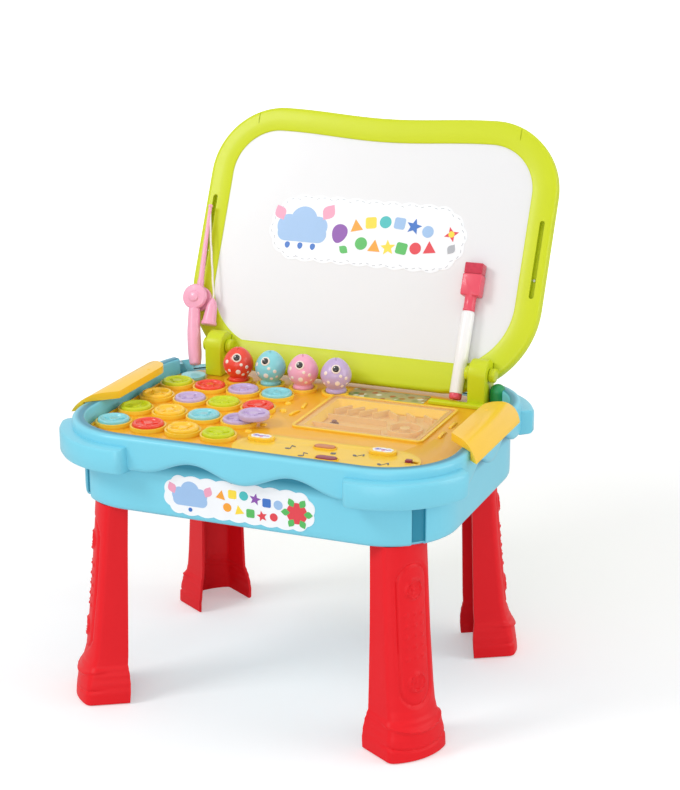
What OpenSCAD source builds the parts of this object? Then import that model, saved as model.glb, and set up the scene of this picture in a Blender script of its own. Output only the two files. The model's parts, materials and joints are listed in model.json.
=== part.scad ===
// Musical activity table: a tub on four legs with a play panel, a tilting
// drawing lid, a marker, a magnetic fishing rod, fish and picking discs.
// Millimetres, +Z up, +Y towards the lid. The origin lies on the floor under
// the middle of the whole part; the tub's centre lies at y = tub_y.

/* [Tub] */
// Outer length of the tub's wall
tub_l = 368; // [340:2:400]
// Outer width of the tub's wall
tub_w = 274; // [262:2:300]
// Corner radius of the tub's wall
tub_r = 66; // [58:1:74]
// Thickness of the moulded walls
wall = 2.5; // [2:0.1:3]
// Height of the tub's underside above the floor
leg_h = 196; // [150:2:240]
// Height of the tub from its underside to the rim
tub_h = 75; // [72:1:90]
// Depth of the play panel below the rim
panel_drop = 16; // [14:1:18]
// How far the rim and its apron stand out from the wall
rim_over = 10; // [9:0.5:12]
// How far the corner bumpers stand out from the rim
lug_over = 12; // [10:0.5:14]
// Height of the corner bumpers
lug_h = 24; // [18:1:26]
// Drop of the apron below the rim at its longest
apron_h = 32; // [28:1:36]
// Rise of the waves in the apron's lower edge
wave_h = 13; // [6:1:16]

/* [Legs] */
// Width of a leg at its top
leg_w = 50; // [46:1:54]
// Depth of a leg at its top
leg_d = 29; // [26:1:32]
// Width of the boot at the floor
boot_w = 66; // [60:1:72]
// Depth of the boot at the floor
boot_d = 50; // [44:1:54]
// Outward lean of a leg over its height
leg_splay = 19; // [6:1:22]
// Angle between a leg's outer face and the tub's end
leg_aim = 31; // [26:1:40]
// Distance from the tub's end to a leg's outer face
leg_from_end = 26; // [24:1:32]
// Distance from the tub's side to a leg's outer face
leg_from_side = 21; // [20:1:26]
// Thickness of a leg's shell
leg_wall = 3; // [2.4:0.2:4]

/* [Lid] */
// Width of the lid
lid_w = 374; // [350:2:380]
// Height of the lid along its own plane
lid_h = 277; // [265:1:285]
// Thickness of the lid over frame and back panel
lid_t = 12; // [10:0.5:13]
// Backward tilt of the open lid
lid_tilt = 25.2; // [20:0.2:28]
// Radius of the lid's upper corners
lid_rt = 73; // [60:1:80]
// Radius of the lid's lower corners
lid_rb = 92; // [80:1:100]
// Dip in the middle of the lid's upper edge
lid_dip = 5; // [0:0.5:8]
// Width of the frame bars round the board
bar_w = 25; // [22:1:30]
// Width of the frame's lower band
band_w = 30; // [28:1:34]
// Thickness of the drawing board
board_t = 2; // [1.5:0.1:3]

/* [Hinge] */
// Height of the lid's axis above the rim
hinge_up = 13; // [12:0.5:15]
// Distance of the lid's axis inside the tub's wall
hinge_in = 19; // [18:0.5:20]
// Distance of the axis above the lid's lower edge
hinge_s = 21; // [20:0.5:22]
// Distance of the axis in front of the lid's face
hinge_n = 7.7; // [7.4:0.1:8.2]
// Middle of each hinge ear from the centre
ear_x = 141; // [136:1:144]
// Width of a hinge ear
ear_w = 18; // [14:1:20]
// Radius of a hinge ear
ear_r = 15; // [13:0.5:16]
// Radius of the hinge pins
pin_r = 3; // [2.4:0.1:3.4]

/* [Discs] */
// Radius of a picking disc
disc_r = 15; // [13:0.5:15.5]
// Thickness of a picking disc
disc_t = 6; // [5:0.5:7]
// Spacing of the disc seats along the tub
seat_dx = 36.5; // [35.5:0.5:37]
// Distance of the first row of seats from the tub's front
seat_front = 63; // [60:1:66]
// Distance of the last row of seats from the tub's back
seat_back = 79; // [78:1:84]

/* [Fish] */
// Radius of a fish
fish_r = 15.5; // [13:0.5:15.5]
// Height of a fish
fish_h = 34.5; // [30:0.5:34.5]
// Spacing of the fish
fish_dx = 35.5; // [33:0.5:36]

/* [Maze] */
// Length of the maze tray
maze_l = 122; // [110:1:124]
// Width of the maze tray
maze_w = 98; // [88:1:100]
// Depth of the maze tray
maze_d = 9; // [7:0.5:12]

/* [Marker] */
// Radius of the marker's barrel
marker_r = 6.5; // [5.5:0.1:6.8]
// Length of the marker from plug to eraser
marker_l = 136; // [125:1:142]

/* [Fishing rod] */
// Radius of the rod's reel
reel_r = 13; // [10:0.5:13.5]
// Radius of the lure's open end
lure_r = 8; // [6.5:0.5:8]

/* [Latches] */
// Gap between a latch's front end and the corner bumper
latch_front = 6; // [5:0.5:12]
// Gap between a latch's rear end and the corner bumper
latch_back = 25; // [24:0.5:40]
// Reach of a side latch in from its outer face
latch_w = 36.4; // [35:0.2:36.8]
// Set-back of a latch's front end at its inner side
latch_slant = 34; // [20:1:36]
// Thickness of a latch
latch_t = 3; // [2.4:0.1:3]
// Height of a latch over the rim
latch_h = 7.5; // [6.5:0.5:8]

/* [Hidden] */
$fn = 48;

// colours
sky = [0.36, 0.74, 0.88];
lime = [0.78, 0.86, 0.16];
sun = [0.98, 0.80, 0.12];
scarlet = [0.88, 0.10, 0.10];
rose = [0.95, 0.55, 0.70];
aqua = [0.35, 0.75, 0.78];
violet = [0.72, 0.60, 0.86];
leaf = [0.10, 0.55, 0.32];
steel = [0.75, 0.76, 0.78];

// overall places
tub_y = -43;
front = -tub_w / 2;
back = tub_w / 2;
rim_z = leg_h + tub_h;
panel_z = rim_z - panel_drop;
panel_t = 2.5;
eps = 0.01;
fit = 0.3;          // assembly gap between fixed pieces
seat_gap = 0.3;     // gap under what lifts or swings
run = 0.05;         // running fit of a pin

// hinge and lid
hinge_y = tub_w / 2 - hinge_in;
hinge_z = rim_z + hinge_up;
ear_gap = 0.5;
boss_r = 7;
boss_w = 5.8;
frame_t = lid_t - 2;
lip_t = 1.5;
lip_w = 4;
skin = 2.5;
slot_x = lid_w / 2 - 10;
slot_w = 5;
slot_s = 140;
slot_l = 78;

// rim cut-out that lets the lid's lower edge swing
cut_left = ear_x + 37;
cut_right = ear_x + 15;
cut_z = panel_z - 1;

// straight stretch between the corner bumpers, to each side of the middle
lug_x = tub_l / 2 - 78;
lug_y = back - 52;

// latch axis: out from the rim's face and down from the rim
latch_off = 3.2;
latch_drop = 8.5;
latch_x = tub_l / 2 + rim_over + latch_off;
latch_z = rim_z - latch_drop;
latch_y0 = latch_front - lug_y;
latch_y1 = lug_y - latch_back;
latch_y = (latch_y0 + latch_y1) / 2;
latch_pin_r = 1.1;
latch_barrel = 2.9;
latch_barrel_l = 20;
latch_lug_r = 2;
latch_lug_h = 3;
latch_hub = 30;

// panel layout, measured from the tub's centre
seat_side = 25;
seat_rows = 4;
seat_x0 = seat_side - tub_l / 2;
seat_y0 = front + seat_front;
seat_dy = (tub_w - seat_front - seat_back) / (seat_rows - 1);
fish_x0 = -107;
fish_y = back - 45;
fish_seat = 2.5;
maze_x = 65;
maze_y = back - 104;
maze_rim = 4;
card_x = 50;
card_y = back - 33;
card_l = 80;
card_w = 28;
music_x = 61;
music_y = front + 55;
music_l = 180;
music_w = 62;
music_h = 2;
rest_r = 12.5;
rest_h = 3.5;
rest_at = [seat_x0 + 2, hinge_y - ear_r - rest_r - fit];
cap_r = 8;
cap_h = 12.5;
cap_at = [ear_x + ear_w / 2 + fit + cap_r, hinge_y + 1.5];

// buttons: length, width, place and stroke
big_l = 26;
big_w = 15;
oval_l = 20;
oval_w = 9;
song_at = [seat_x0 + (seat_rows - 1) * seat_dx + disc_r + 12.5 + big_l / 2,
    music_y + 15];
note_at = [music_x + 48, music_y + 20];
oval_back_at = [music_x - 6, music_y + 14];
oval_front_at = [music_x + 7, music_y - 14];
switch_at = [music_x + 78, music_y + 6];
press = 1.2;
pcb_z = panel_z - 12;
pcb_in = 8;
pcb_t = 1.6;
pad_t = 0.9;
plunger_z = pcb_z + pcb_t + pad_t + press + seat_gap;

// battery box
bat_x = 60;
bat_y = front + 67;
bat_l = 56;
contact_t = 0.6;
contact_in = bat_l / 2 - 0.2 - contact_t;
nub_l = 1;
bat_w = 50;
bat_h = 20;
cell_r = 7.1;
cell_l = 49.5;
cell_x = contact_in - run - nub_l - cell_l / 2;
spring_l = contact_in - run + cell_x - cell_l / 2;
ledge = 2;

// routes in the lid's plane: across, up along the lid, out from its face
grip_route = [[-161, -3, 13], [-163, 6, 13], [-166, 18, 13], [-169, 31, 13],
    [-171, 43, 13], [-173, 56, 13]];
grip_radii = [5.6, 6.8, 7, 6.8, 6.4, 6];
reel_at = [-173.5, 67];
reel_t = 18;
shaft_from = [-173, 77, 8];
shaft_to = [-177, 166, 8];
line_r = 1;
line_route = [[-177, 165, 8], [-176, 158, 8], [-174, 148, 8], [-172, 138, 8],
    [-170, 128, 8], [-167, 117, 8], [-165, 107, 8], [-162, 96, 8],
    [-160, 86, 8], [-157, 76, 8], [-156, 71, 8.5], [-156, 66, 8.5]];
lure_at = [-156, 40, 8.5];
lure_l = 28;
marker_x = 118.5;
marker_s = -6.5;
marker_n = marker_r + seat_gap;

// ---- outlines ----------------------------------------------------------

function arc(cx, cy, r, a0, a1, n = 12) =
    [for (i = [0:n]) let (a = a0 + (a1 - a0) * i / n)
        [cx + r * cos(a), cy + r * sin(a)]];

function round_rect(hx, hy, r) = concat(
    arc(hx - r, hy - r, r, 0, 90),
    arc(-hx + r, hy - r, r, 90, 180),
    arc(-hx + r, -hy + r, r, 180, 270),
    arc(hx - r, -hy + r, r, 270, 360));

// the tub's wall outline, moved in by inset
module tub_outline(inset)
    polygon(round_rect(tub_l / 2 - inset, tub_w / 2 - inset, tub_r - inset));

// the lid's outline, moved in by inset, with its dipped upper edge
function lid_points(inset, hw = lid_w / 2, n = 12) = concat(
    arc(-hw + lid_rb, lid_rb, lid_rb - inset, 180, 270),
    arc(hw - lid_rb, lid_rb, lid_rb - inset, 270, 360),
    arc(hw - lid_rt, lid_h - lid_rt, lid_rt - inset, 0, 90),
    [for (i = [1:n - 1]) let (x = (hw - lid_rt) * (1 - 2 * i / n))
        [x, lid_h - inset - lid_dip * (1 + cos(180 * x / (hw - lid_rt))) / 2]],
    arc(-hw + lid_rt, lid_h - lid_rt, lid_rt - inset, 90, 180));

// the opening in the frame, with its straight lower band
module lid_window(inset, low) intersection() {
    polygon(lid_points(inset));
    translate([-lid_w / 2, low]) square([lid_w, lid_h]);
}

module rounded_rect(l, w, r) polygon(round_rect(l / 2, w / 2, r));

module stadium(l, w) {
    square([l - w, w], center = true);
    for (s = [-1, 1]) translate([s * (l - w) / 2, 0]) circle(d = w);
}

module at_tub() translate([0, tub_y, 0]) children();

// the lid's own frame: x across, y up along the lid, z out from its face
module at_lid() at_tub() translate([0, hinge_y, hinge_z])
    rotate([90 - lid_tilt, 0, 0]) translate([0, -hinge_s, -hinge_n]) children();

module along_x(x, r, l) translate([x, 0, 0]) rotate([0, 90, 0])
    cylinder(r = r, h = l, center = true);

module along_y(y, r, l) translate([0, y, 0]) rotate([90, 0, 0])
    cylinder(r = r, h = l, center = true);

// a tube of rings along a route; each ring lies square to its step
function unit(v) = v / norm(v);
function step_at(p, i) =
    unit(p[min(i + 1, len(p) - 1)] - p[max(i - 1, 0)]);
function ring(c, t, r, sides) =
    let (u = unit(cross(t, [0, 0, 1])), v = cross(t, u))
    [for (k = [0:sides - 1]) c + r * cos(360 * k / sides) * u
        + r * sin(360 * k / sides) * v];

module tube(p, radii, sides) {
    n = len(p);
    pts = [for (i = [0:n - 1])
        each ring(p[i], step_at(p, i), radii[i], sides)];
    faces = concat(
        [[for (k = [0:sides - 1]) k]],
        [for (i = [0:n - 2], k = [0:sides - 1]) let (m = (k + 1) % sides)
            [i * sides + k, (i + 1) * sides + k,
             (i + 1) * sides + m, i * sides + m]],
        [[for (k = [sides - 1:-1:0]) (n - 1) * sides + k]]);
    polyhedron(pts, faces, convexity = 4);
}

// ---- tub ---------------------------------------------------------------

wave_dx = lug_x - 9;
wave_dy = lug_y;
wave_x = 6;
lug_top = rim_z - 9;
groove_w = 14;
groove_d = 3;

// waves cut out of the apron's lower edge, across a span of two waves
module waves(pitch, reach, n = 32) rotate([90, 0, 0])
    linear_extrude(reach, center = true)
    polygon(concat([[pitch, -1], [-pitch, -1]],
        [for (i = [0:n]) let (x = pitch * (2 * i / n - 1))
            [x, wave_h * (1 - cos(360 * x / pitch)) / 2]]));

module apron() difference() {
    union() {
        translate([0, 0, rim_z - apron_h]) linear_extrude(apron_h - 1.5)
            tub_outline(-rim_over);
        translate([0, 0, rim_z - apron_h]) linear_extrude(apron_h)
            tub_outline(1.5 - rim_over);
    }
    translate([0, 0, rim_z - apron_h - 1]) linear_extrude(apron_h + 1 - wall)
        tub_outline(wall - rim_over);
    translate([0, 0, rim_z - apron_h - 1]) linear_extrude(apron_h + 2)
        tub_outline(wall / 2);
    translate([wave_x, 0, rim_z - apron_h]) waves(wave_dx, tub_w * 2);
    translate([0, 0, rim_z - apron_h]) rotate([0, 0, 90])
        waves(wave_dy, tub_l * 2);
}

// one hollow bumper round each corner
module bumpers() difference() {
    translate([0, 0, lug_top - lug_h]) linear_extrude(lug_h)
        tub_outline(-rim_over - lug_over);
    translate([0, 0, lug_top - lug_h - 1]) linear_extrude(lug_h + 2)
        tub_outline(wall / 2 - rim_over);
    difference() {
        translate([0, 0, lug_top - lug_h - 1]) linear_extrude(lug_h + 1 - wall)
            tub_outline(wall - rim_over - lug_over);
        bumper_gap(wall);
    }
    bumper_gap(0);
}

// the straight stretches between the bumpers
module bumper_gap(grow) {
    cube([2 * (lug_x + grow), tub_w * 2, 3 * rim_z], center = true);
    cube([tub_l * 2, 2 * (lug_y + grow), 3 * rim_z], center = true);
}

// places something at each corner, turned to face outwards
module each_corner() for (sx = [-1, 1], sy = [-1, 1])
    corner(sx, sy) children();

module corner(sx, sy)
    translate([sx * (tub_l / 2 - tub_r), sy * (tub_w / 2 - tub_r), 0])
    rotate([0, 0, atan2(sy, sx)]) children();

module battery_box() translate([bat_x, bat_y, leg_h])
    linear_extrude(bat_h + wall) square([bat_l + 2 * wall, bat_w + 2 * wall],
        center = true);

module battery_space() translate([bat_x, bat_y, leg_h]) {
    translate([0, 0, -1]) linear_extrude(bat_h + 1)
        square([bat_l, bat_w], center = true);
    translate([0, 0, -1]) linear_extrude(wall + 1)
        square([bat_l + 2 * ledge, bat_w + 2 * ledge], center = true);
}

// screw posts between floor and panel
post_x = tub_l / 2 - 26;
post_at = [[-post_x, front + 85], [0, front + 25], [post_x, front + 85],
    [8 - post_x, back - 77], [-20, back - 97], [post_x - 8, back - 77]];
post_r = 4;
screw_r = 1.5;
screw_head = 3;

module tub() color(sky) at_tub() difference() {
    union() {
        difference() {
            translate([0, 0, leg_h]) linear_extrude(tub_h) tub_outline(0);
            translate([0, 0, leg_h + wall]) linear_extrude(tub_h)
                tub_outline(wall);
        }
        apron();
        bumpers();
        battery_box();
        each_corner() translate([tub_r - 8, -groove_w / 2 - 3, leg_h])
            cube([8 - wall / 2, groove_w + 6, lug_top - lug_h - leg_h]);
        for (s = [-1, 1]) latch_mount(s);
    }
    // room for the lid's lower edge and the rod's foot
    translate([-cut_left, hinge_y - 28, cut_z])
        cube([cut_left + cut_right, 100, tub_h]);
    each_corner() translate([tub_r - groove_d, -groove_w / 2, leg_h - 1])
        cube([groove_d * 2, groove_w, lug_top - lug_h - leg_h - 6]);
    for (sx = [-1, 1], sy = [-1, 1]) leg_place(sx, sy) leg_tongue(fit);
    battery_space();
    for (p = post_at) translate([p[0], p[1], leg_h - 1]) {
        cylinder(r = screw_r + fit, h = wall + 2);
        cylinder(r = screw_head + fit, h = 2);
    }
    // speaker grille
    translate([speaker_at[0], speaker_at[1], leg_h - 1])
        for (a = [0:60:300]) rotate([0, 0, a]) translate([9, 0, 0])
            cylinder(r = 2, h = wall + 2);
    translate([speaker_at[0], speaker_at[1], leg_h - 1])
        cylinder(r = 2, h = wall + 2);
    for (s = [-1, 1]) translate([s * latch_x, 0, latch_z])
        along_y(latch_y, latch_pin_r, latch_hub + 2);
    // pocket for the cap behind the right ear
    translate([cap_at[0], cap_at[1], cut_z]) cylinder(r = cap_r + fit, h = tub_h);
}

// boss between the latch's two barrels
module latch_mount(s) translate([s * latch_x, latch_y, latch_z]) {
    along_y(0, latch_lug_r, latch_hub);
    translate([-s * (latch_off + wall) / 2, 0, 0])
        cube([latch_off + wall, latch_hub, latch_lug_h], center = true);
}

// ---- legs --------------------------------------------------------------

// half outline of a leg: a bowed outer face and round edges, open end at -x
function leg_outline(w, d, r, n = 8) = let (bow = w * w / 8 / 10, R = 5 + bow,
        h = w / 2 - r, a = asin(h / (R - r)))
    concat(
        [[-d, -w / 2]],
        arc(-r - (R - r) * (1 - cos(a)), -h, r, -90, -a, n),
        arc(-R, 0, R, -a, a, n),
        arc(-r - (R - r) * (1 - cos(a)), h, r, a, 90, n),
        [[-d, w / 2]]);

// a stack of outlines, each level [z, width, depth, shifts out and along]
module leg_stack(levels, inset) {
    rings = [for (l = levels) [for (p = leg_outline(l[1] - 2 * inset,
            l[2] - inset + (inset > 0 ? 2 : 0), max(8 - inset, 3)))
        [p[0] + l[3] - inset, p[1] + l[4], l[0]]]];
    m = len(rings[0]);
    n = len(rings);
    polyhedron([for (q = rings) each q], concat(
        [[for (k = [0:m - 1]) k]],
        [for (i = [0:n - 2], k = [0:m - 1]) let (j = (k + 1) % m)
            each [[i * m + k, (i + 1) * m + j, i * m + j],
                [i * m + k, (i + 1) * m + k, (i + 1) * m + j]]],
        [[for (k = [m - 1:-1:0]) (n - 1) * m + k]]), convexity = 6);
}

leg_top = leg_h - eps;
boot_out = 8;   // how far the boot's toe stands out from the leg
function lean(z) = leg_splay * cos(45 - leg_aim) * (1 - z / leg_h);
function drift(z) = leg_splay * sin(45 - leg_aim) * (1 - z / leg_h);
function leg_levels(way) = [for (l = [
    [0, boot_w, boot_d, boot_out],
    [12, boot_w, boot_d, boot_out],
    [20, boot_w - 4, boot_d - 2, boot_out - 1],
    [30, boot_w - 6, boot_d - 4, boot_out - 2],
    [38, boot_w - 11, boot_d - 9, boot_out - 5],
    [56, leg_w + 3, leg_d + 9, 1],
    [110, leg_w + 1, leg_d + 5, 0],
    [leg_top, leg_w, leg_d, 0]])
        [l[0], l[1], l[2], l[3] + lean(l[0]), way * drift(l[0])]];

// the middle of a leg's outer face under the tub, with x pointing out
module leg_place(sx, sy)
    translate([sx * (tub_l / 2 - leg_from_end), sy * (tub_w / 2 - leg_from_side), 0])
    rotate([0, 0, atan2(sy * sin(leg_aim), sx * cos(leg_aim))]) children();

tongue_w = 34;
tongue_t = 8;
tongue_h = 14;
module leg_tongue(gap) translate([-21 - gap, -tongue_w / 2 - gap, leg_h - 4])
    cube([tongue_t + 2 * gap, tongue_w + 2 * gap, tongue_h + 4 + gap]);

// two stepped round medallions on the outer face
relief_r = 8;
relief_at = [[69, 0.5], [leg_h - 41, -0.2]];   // height, set of the face
module leg_relief(way) for (m = relief_at)
    translate([lean(m[0]) + m[1] - leg_wall, way * drift(m[0]), m[0]])
    rotate([0, 90, 0]) {
        cylinder(r = relief_r, h = leg_wall + 0.7);
        cylinder(r = relief_r - 2.5, h = leg_wall + 1.4);
    }

module leg(sx, sy) color(scarlet) at_tub() leg_place(sx, sy) {
    difference() {
        leg_stack(leg_levels(sx * sy), 0);
        leg_stack([for (l = leg_levels(sx * sy))
            [l[0] == 0 ? -1 : l[0] == leg_top ? leg_h + 1 : l[0], l[1], l[2],
                l[3], l[4]]], leg_wall);
    }
    leg_relief(sx * sy);
    translate([1 - leg_d, 2 - leg_w / 2, leg_h - 4])
        cube([leg_d - 10, leg_w - 4, 4 - eps]);
    leg_tongue(0);
}

// ---- play panel --------------------------------------------------------

module seats() for (i = [0:seat_rows - 1], j = [0:seat_rows - 1])
    translate([seat_x0 + i * seat_dx, seat_y0 + j * seat_dy, 0]) children();

module fish_places() for (i = [0:3])
    translate([fish_x0 + i * fish_dx, fish_y, 0]) children();

seat_h = 4.5;
seat_ring = 2;
seat_floor = 1;
kerb_h = 2.2;

module button_hole(at, l, w) translate([at[0], at[1], panel_z - 20])
    linear_extrude(40) stadium(l + 2 * fit, w + 2 * fit);

module play_panel() color(sun) at_tub() difference() {
    union() {
        difference() {
            translate([0, 0, panel_z - panel_t]) linear_extrude(panel_t)
                tub_outline(wall + fit);
            maze_hole();
        }
        seats() translate([0, 0, panel_z - eps])
            cylinder(r = disc_r + fit + seat_ring, h = seat_h);
        fish_places() translate([0, 0, panel_z - eps])
            cylinder(r = fish_r - 1, h = fish_seat + 1);
        translate([music_x, music_y, panel_z - eps]) linear_extrude(music_h)
            stadium(music_l, music_w);
        // kerb round the maze cover
        translate([maze_x, maze_y, panel_z - eps]) linear_extrude(kerb_h)
            rounded_rect(maze_l + 10, maze_w + 10, maze_rim + 3);
        for (p = post_at) translate([p[0], p[1], leg_h + wall])
            cylinder(r = post_r, h = panel_z - leg_h - wall - 1);
        for (p = pcb_posts) translate([p[0], p[1], pcb_z + pcb_t])
            cylinder(r = post_r - 1, h = panel_z - 1 - pcb_z - pcb_t);
    }
    maze_hole();
    translate([maze_x, maze_y, panel_z]) linear_extrude(10)
        rounded_rect(maze_l + 4, maze_w + 4, maze_rim);
    seats() translate([0, 0, panel_z + seat_floor])
        cylinder(r = disc_r + fit, h = 10);
    fish_places() translate([0, 0, panel_z + fish_seat])
        cylinder(r = fish_r - 4, h = 5);
    translate([card_x, card_y, panel_z - 1]) linear_extrude(5)
        square([card_l + 2 * fit, card_w + 2 * fit], center = true);
    for (at = [song_at, note_at]) button_hole(at, big_l, big_w);
    for (at = [oval_back_at, oval_front_at]) button_hole(at, oval_l, oval_w);
    translate([switch_at[0] + 3, switch_at[1], panel_z - 5])
        linear_extrude(20) square([12.6, 5.6], center = true);
    for (p = post_at) translate([p[0], p[1], leg_h])
        cylinder(r = screw_r + 0.1, h = 20);
}

module maze_hole() translate([maze_x, maze_y, panel_z - 20])
    linear_extrude(40) square([maze_l - 4, maze_w - 4], center = true);

// ---- maze and picture --------------------------------------------------

module maze_tray() color([0.93, 0.78, 0.50]) at_tub()
    translate([maze_x, maze_y, panel_z]) difference() {
        union() {
            translate([0, 0, -maze_d]) linear_extrude(maze_d - fit)
                square([maze_l - 4.6, maze_w - 4.6], center = true);
            linear_extrude(1) rounded_rect(maze_l, maze_w, maze_rim - 2);
            translate([0, 0, -fit - eps]) linear_extrude(fit + 2 * eps)
                square([maze_l - 4.6, maze_w - 4.6], center = true);
        }
        translate([0, 0, 2 - maze_d]) linear_extrude(maze_d) difference() {
            square([maze_l - 9, maze_w - 9], center = true);
            maze_ridges();
        }
        translate([0, 0, -1]) linear_extrude(3)
            square([maze_l - 9, maze_w - 9], center = true);
    }

// low walls of the maze
module maze_ridges() {
    for (i = [0:3]) translate([-44 + i * 13, 26]) rotate(55)
        square([20, 2], center = true);
    for (i = [0:2]) translate([8 + i * 18, 26]) rotate(-40)
        square([16, 2], center = true);
    translate([-20, 2]) square([60, 2], center = true);
    translate([-20, -26]) square([70, 2], center = true);
    translate([34, -12]) difference() {
        circle(r = 17);
        circle(r = 15);
        translate([-22, 0]) square([20, 8], center = true);
    }
    translate([34, -12]) circle(r = 5);
}

module maze_cover() color([0.9, 0.95, 1, 0.35]) at_tub()
    translate([maze_x, maze_y, panel_z + 1]) linear_extrude(1.2)
        rounded_rect(maze_l + 4 - 2 * fit, maze_w + 4 - 2 * fit, maze_rim - fit);

bead_at = [-38, -12];
bead_run = 24;
module maze_bead() color([0.45, 0.22, 0.1]) at_tub()
    translate([maze_x + bead_at[0], maze_y + bead_at[1],
        panel_z + 2 - maze_d + seat_gap]) {
        cylinder(r = 4.5, h = 2);
        cylinder(r = 2.5, h = 4.5);
    }

// low round pad under the rod's foot
module rod_rest() color(sky) at_tub()
    translate([rest_at[0], rest_at[1], panel_z])
        cylinder(r = rest_r, h = rest_h);

// domed cap behind the right ear
module rear_cap() color(leaf) at_tub()
    translate([cap_at[0], cap_at[1], panel_z]) {
        cylinder(r = cap_r, h = cap_h);
        translate([0, 0, cap_h]) intersection() {
            sphere(r = cap_r);
            cylinder(r = 2 * cap_r, h = 2 * cap_r);
        }
    }

module picture_card() color([0.35, 0.55, 0.35]) at_tub()
    translate([card_x, card_y, panel_z - 1]) linear_extrude(1.3)
        square([card_l, card_w], center = true);

// ---- electrics ---------------------------------------------------------

speaker_at = [-70, front + 77];
speaker_r = 20;
pcb_posts = [[music_x - 46, music_y - 16], [music_x + 59, music_y - 16]];
chip_l = 10;

module speaker() color([0.2, 0.2, 0.22]) at_tub()
    translate([speaker_at[0], speaker_at[1], leg_h + wall]) {
        difference() {
            cylinder(r = speaker_r, h = 3);
            translate([0, 0, -1]) cylinder(r = speaker_r - 4, h = 3);
        }
        cylinder(r1 = speaker_r - 3, r2 = speaker_r / 2, h = 7);
        cylinder(r = speaker_r / 2, h = 12);
    }

module circuit_board() color([0.1, 0.45, 0.2]) at_tub() {
    translate([music_x, music_y, pcb_z]) linear_extrude(pcb_t)
        square([music_l - 2 * pcb_in, music_w - 2 * pcb_in], center = true);
    translate([music_x - 41, music_y + 2, pcb_z + pcb_t - eps])
        linear_extrude(1.5) square([chip_l, chip_l], center = true);
}

pad_r = 3.6;
module button_pads() color([0.25, 0.25, 0.27]) at_tub()
    for (p = [song_at, note_at, oval_back_at, oval_front_at])
        translate([p[0], p[1], pcb_z + pcb_t]) cylinder(r = pad_r, h = pad_t);

module batteries() color([0.2, 0.2, 0.2]) at_tub()
    for (i = [-1:1]) translate([bat_x, bat_y + i * 15.5,
            leg_h + bat_h - cell_r - fit]) {
        along_x(cell_x, cell_r, cell_l);
        along_x(cell_x + (cell_l + nub_l) / 2, 2.7, nub_l + 2 * eps);
    }

// spring and plate at the ends of the cells
module battery_contacts() color(steel) at_tub()
    for (i = [-1:1]) translate([bat_x, bat_y + i * 15.5,
            leg_h + bat_h - cell_r - fit]) {
        for (s = [-1, 1]) translate([s * (contact_in + contact_t / 2), 0, 0])
            cube([contact_t, 10, 9], center = true);
        along_x(spring_l / 2 - contact_in, 3, spring_l);
    }

door_l = bat_l + 2 * ledge - 2 * fit;
door_w = bat_w + 2 * ledge - 2 * fit;
door_screw_x = door_l / 2 - 5;
module battery_door() color(sky) at_tub() translate([bat_x, bat_y, leg_h])
    difference() {
        linear_extrude(wall - fit) square([door_l, door_w], center = true);
        translate([door_screw_x, 0, -1]) cylinder(r = screw_r + 0.1, h = 6);
        translate([door_screw_x, 0, -1]) cylinder(r = screw_head + 0.1, h = 2);
    }

module battery_door_screw() color(steel) at_tub()
    translate([bat_x + door_screw_x, bat_y, leg_h]) {
        cylinder(r = screw_head, h = 1);
        cylinder(r = screw_r, h = wall + 1.5);
    }

module panel_screws() color(steel) at_tub()
    for (p = post_at) translate([p[0], p[1], leg_h]) {
        cylinder(r = screw_head, h = 1);
        cylinder(r = screw_r, h = 18);
    }

front_label_l = 150;
front_label_w = 38;
front_label_t = 0.4;
front_label_up = 24;
module front_label() color("white") at_tub()
    translate([0, front - front_label_t / 2, leg_h + front_label_up])
        rotate([90, 0, 0]) linear_extrude(front_label_t, center = true)
        stadium(front_label_l, front_label_w);

// ---- hinge -------------------------------------------------------------

ledge_l = 46;
ledge_d = 8;
ledge_h = 4;
ear_bore = pin_r + 0.02;
module hinge_ear(s) color(lime) at_tub() difference() {
    union() {
        translate([s * ear_x, hinge_y, hinge_z]) along_x(0, ear_r, ear_w);
        translate([s * ear_x - ear_w / 2, hinge_y - ear_r, panel_z])
            cube([ear_w, 2 * ear_r, hinge_z - panel_z]);
        // low ledge that keeps the marker's foot in
        if (s > 0) translate([ear_x - ledge_l, hinge_y - ear_r - ledge_d,
            panel_z]) cube([ledge_l + ear_w / 2, ledge_d + eps, ledge_h]);
    }
    translate([s * ear_x, hinge_y, hinge_z]) along_x(0, ear_bore, 2 * ear_w);
}

// the pins' blind bores leave a skin at each boss's outer end
bore_l = ear_w + 2 * ear_gap + 2 * (boss_w - 0.8);
pin_l = bore_l - 0.8;
module hinge_pins() color(steel) at_tub() for (s = [-1, 1])
    translate([s * ear_x, hinge_y, hinge_z])
        along_x(0, pin_r, pin_l);

module latch_pins() color(steel) at_tub() for (s = [-1, 1])
    translate([s * latch_x, 0, latch_z])
        along_y(latch_y, latch_pin_r - run, latch_hub + 2 * latch_barrel_l - 2);

// ---- lid ---------------------------------------------------------------

// room for a hinge ear, cut through the whole lid
module ear_pocket() for (s = [-1, 1]) translate([s * ear_x, 0, 0]) {
    translate([0, hinge_s, hinge_n])
        along_x(0, ear_r + ear_gap, ear_w + 2 * ear_gap);
    translate([0, hinge_s / 2 - 17, 0])
        cube([ear_w + 2 * ear_gap, hinge_s + 46, 80], center = true);
}

lid_screw_r = 1.25;
lid_screw_head = 2.9;
screw_side = lid_w / 2 - 11;
screw_top = lid_h - 13;
module lid_screw_places() for (p = [[-screw_side, slot_s - 20],
        [screw_side, slot_s - 20], [46 - screw_side, screw_top],
        [screw_side - 46, screw_top], [0, screw_top - 4],
        [-band_w * 2, 12], [band_w * 2, 12]])
    translate([p[0], p[1], 0]) children();

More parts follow.
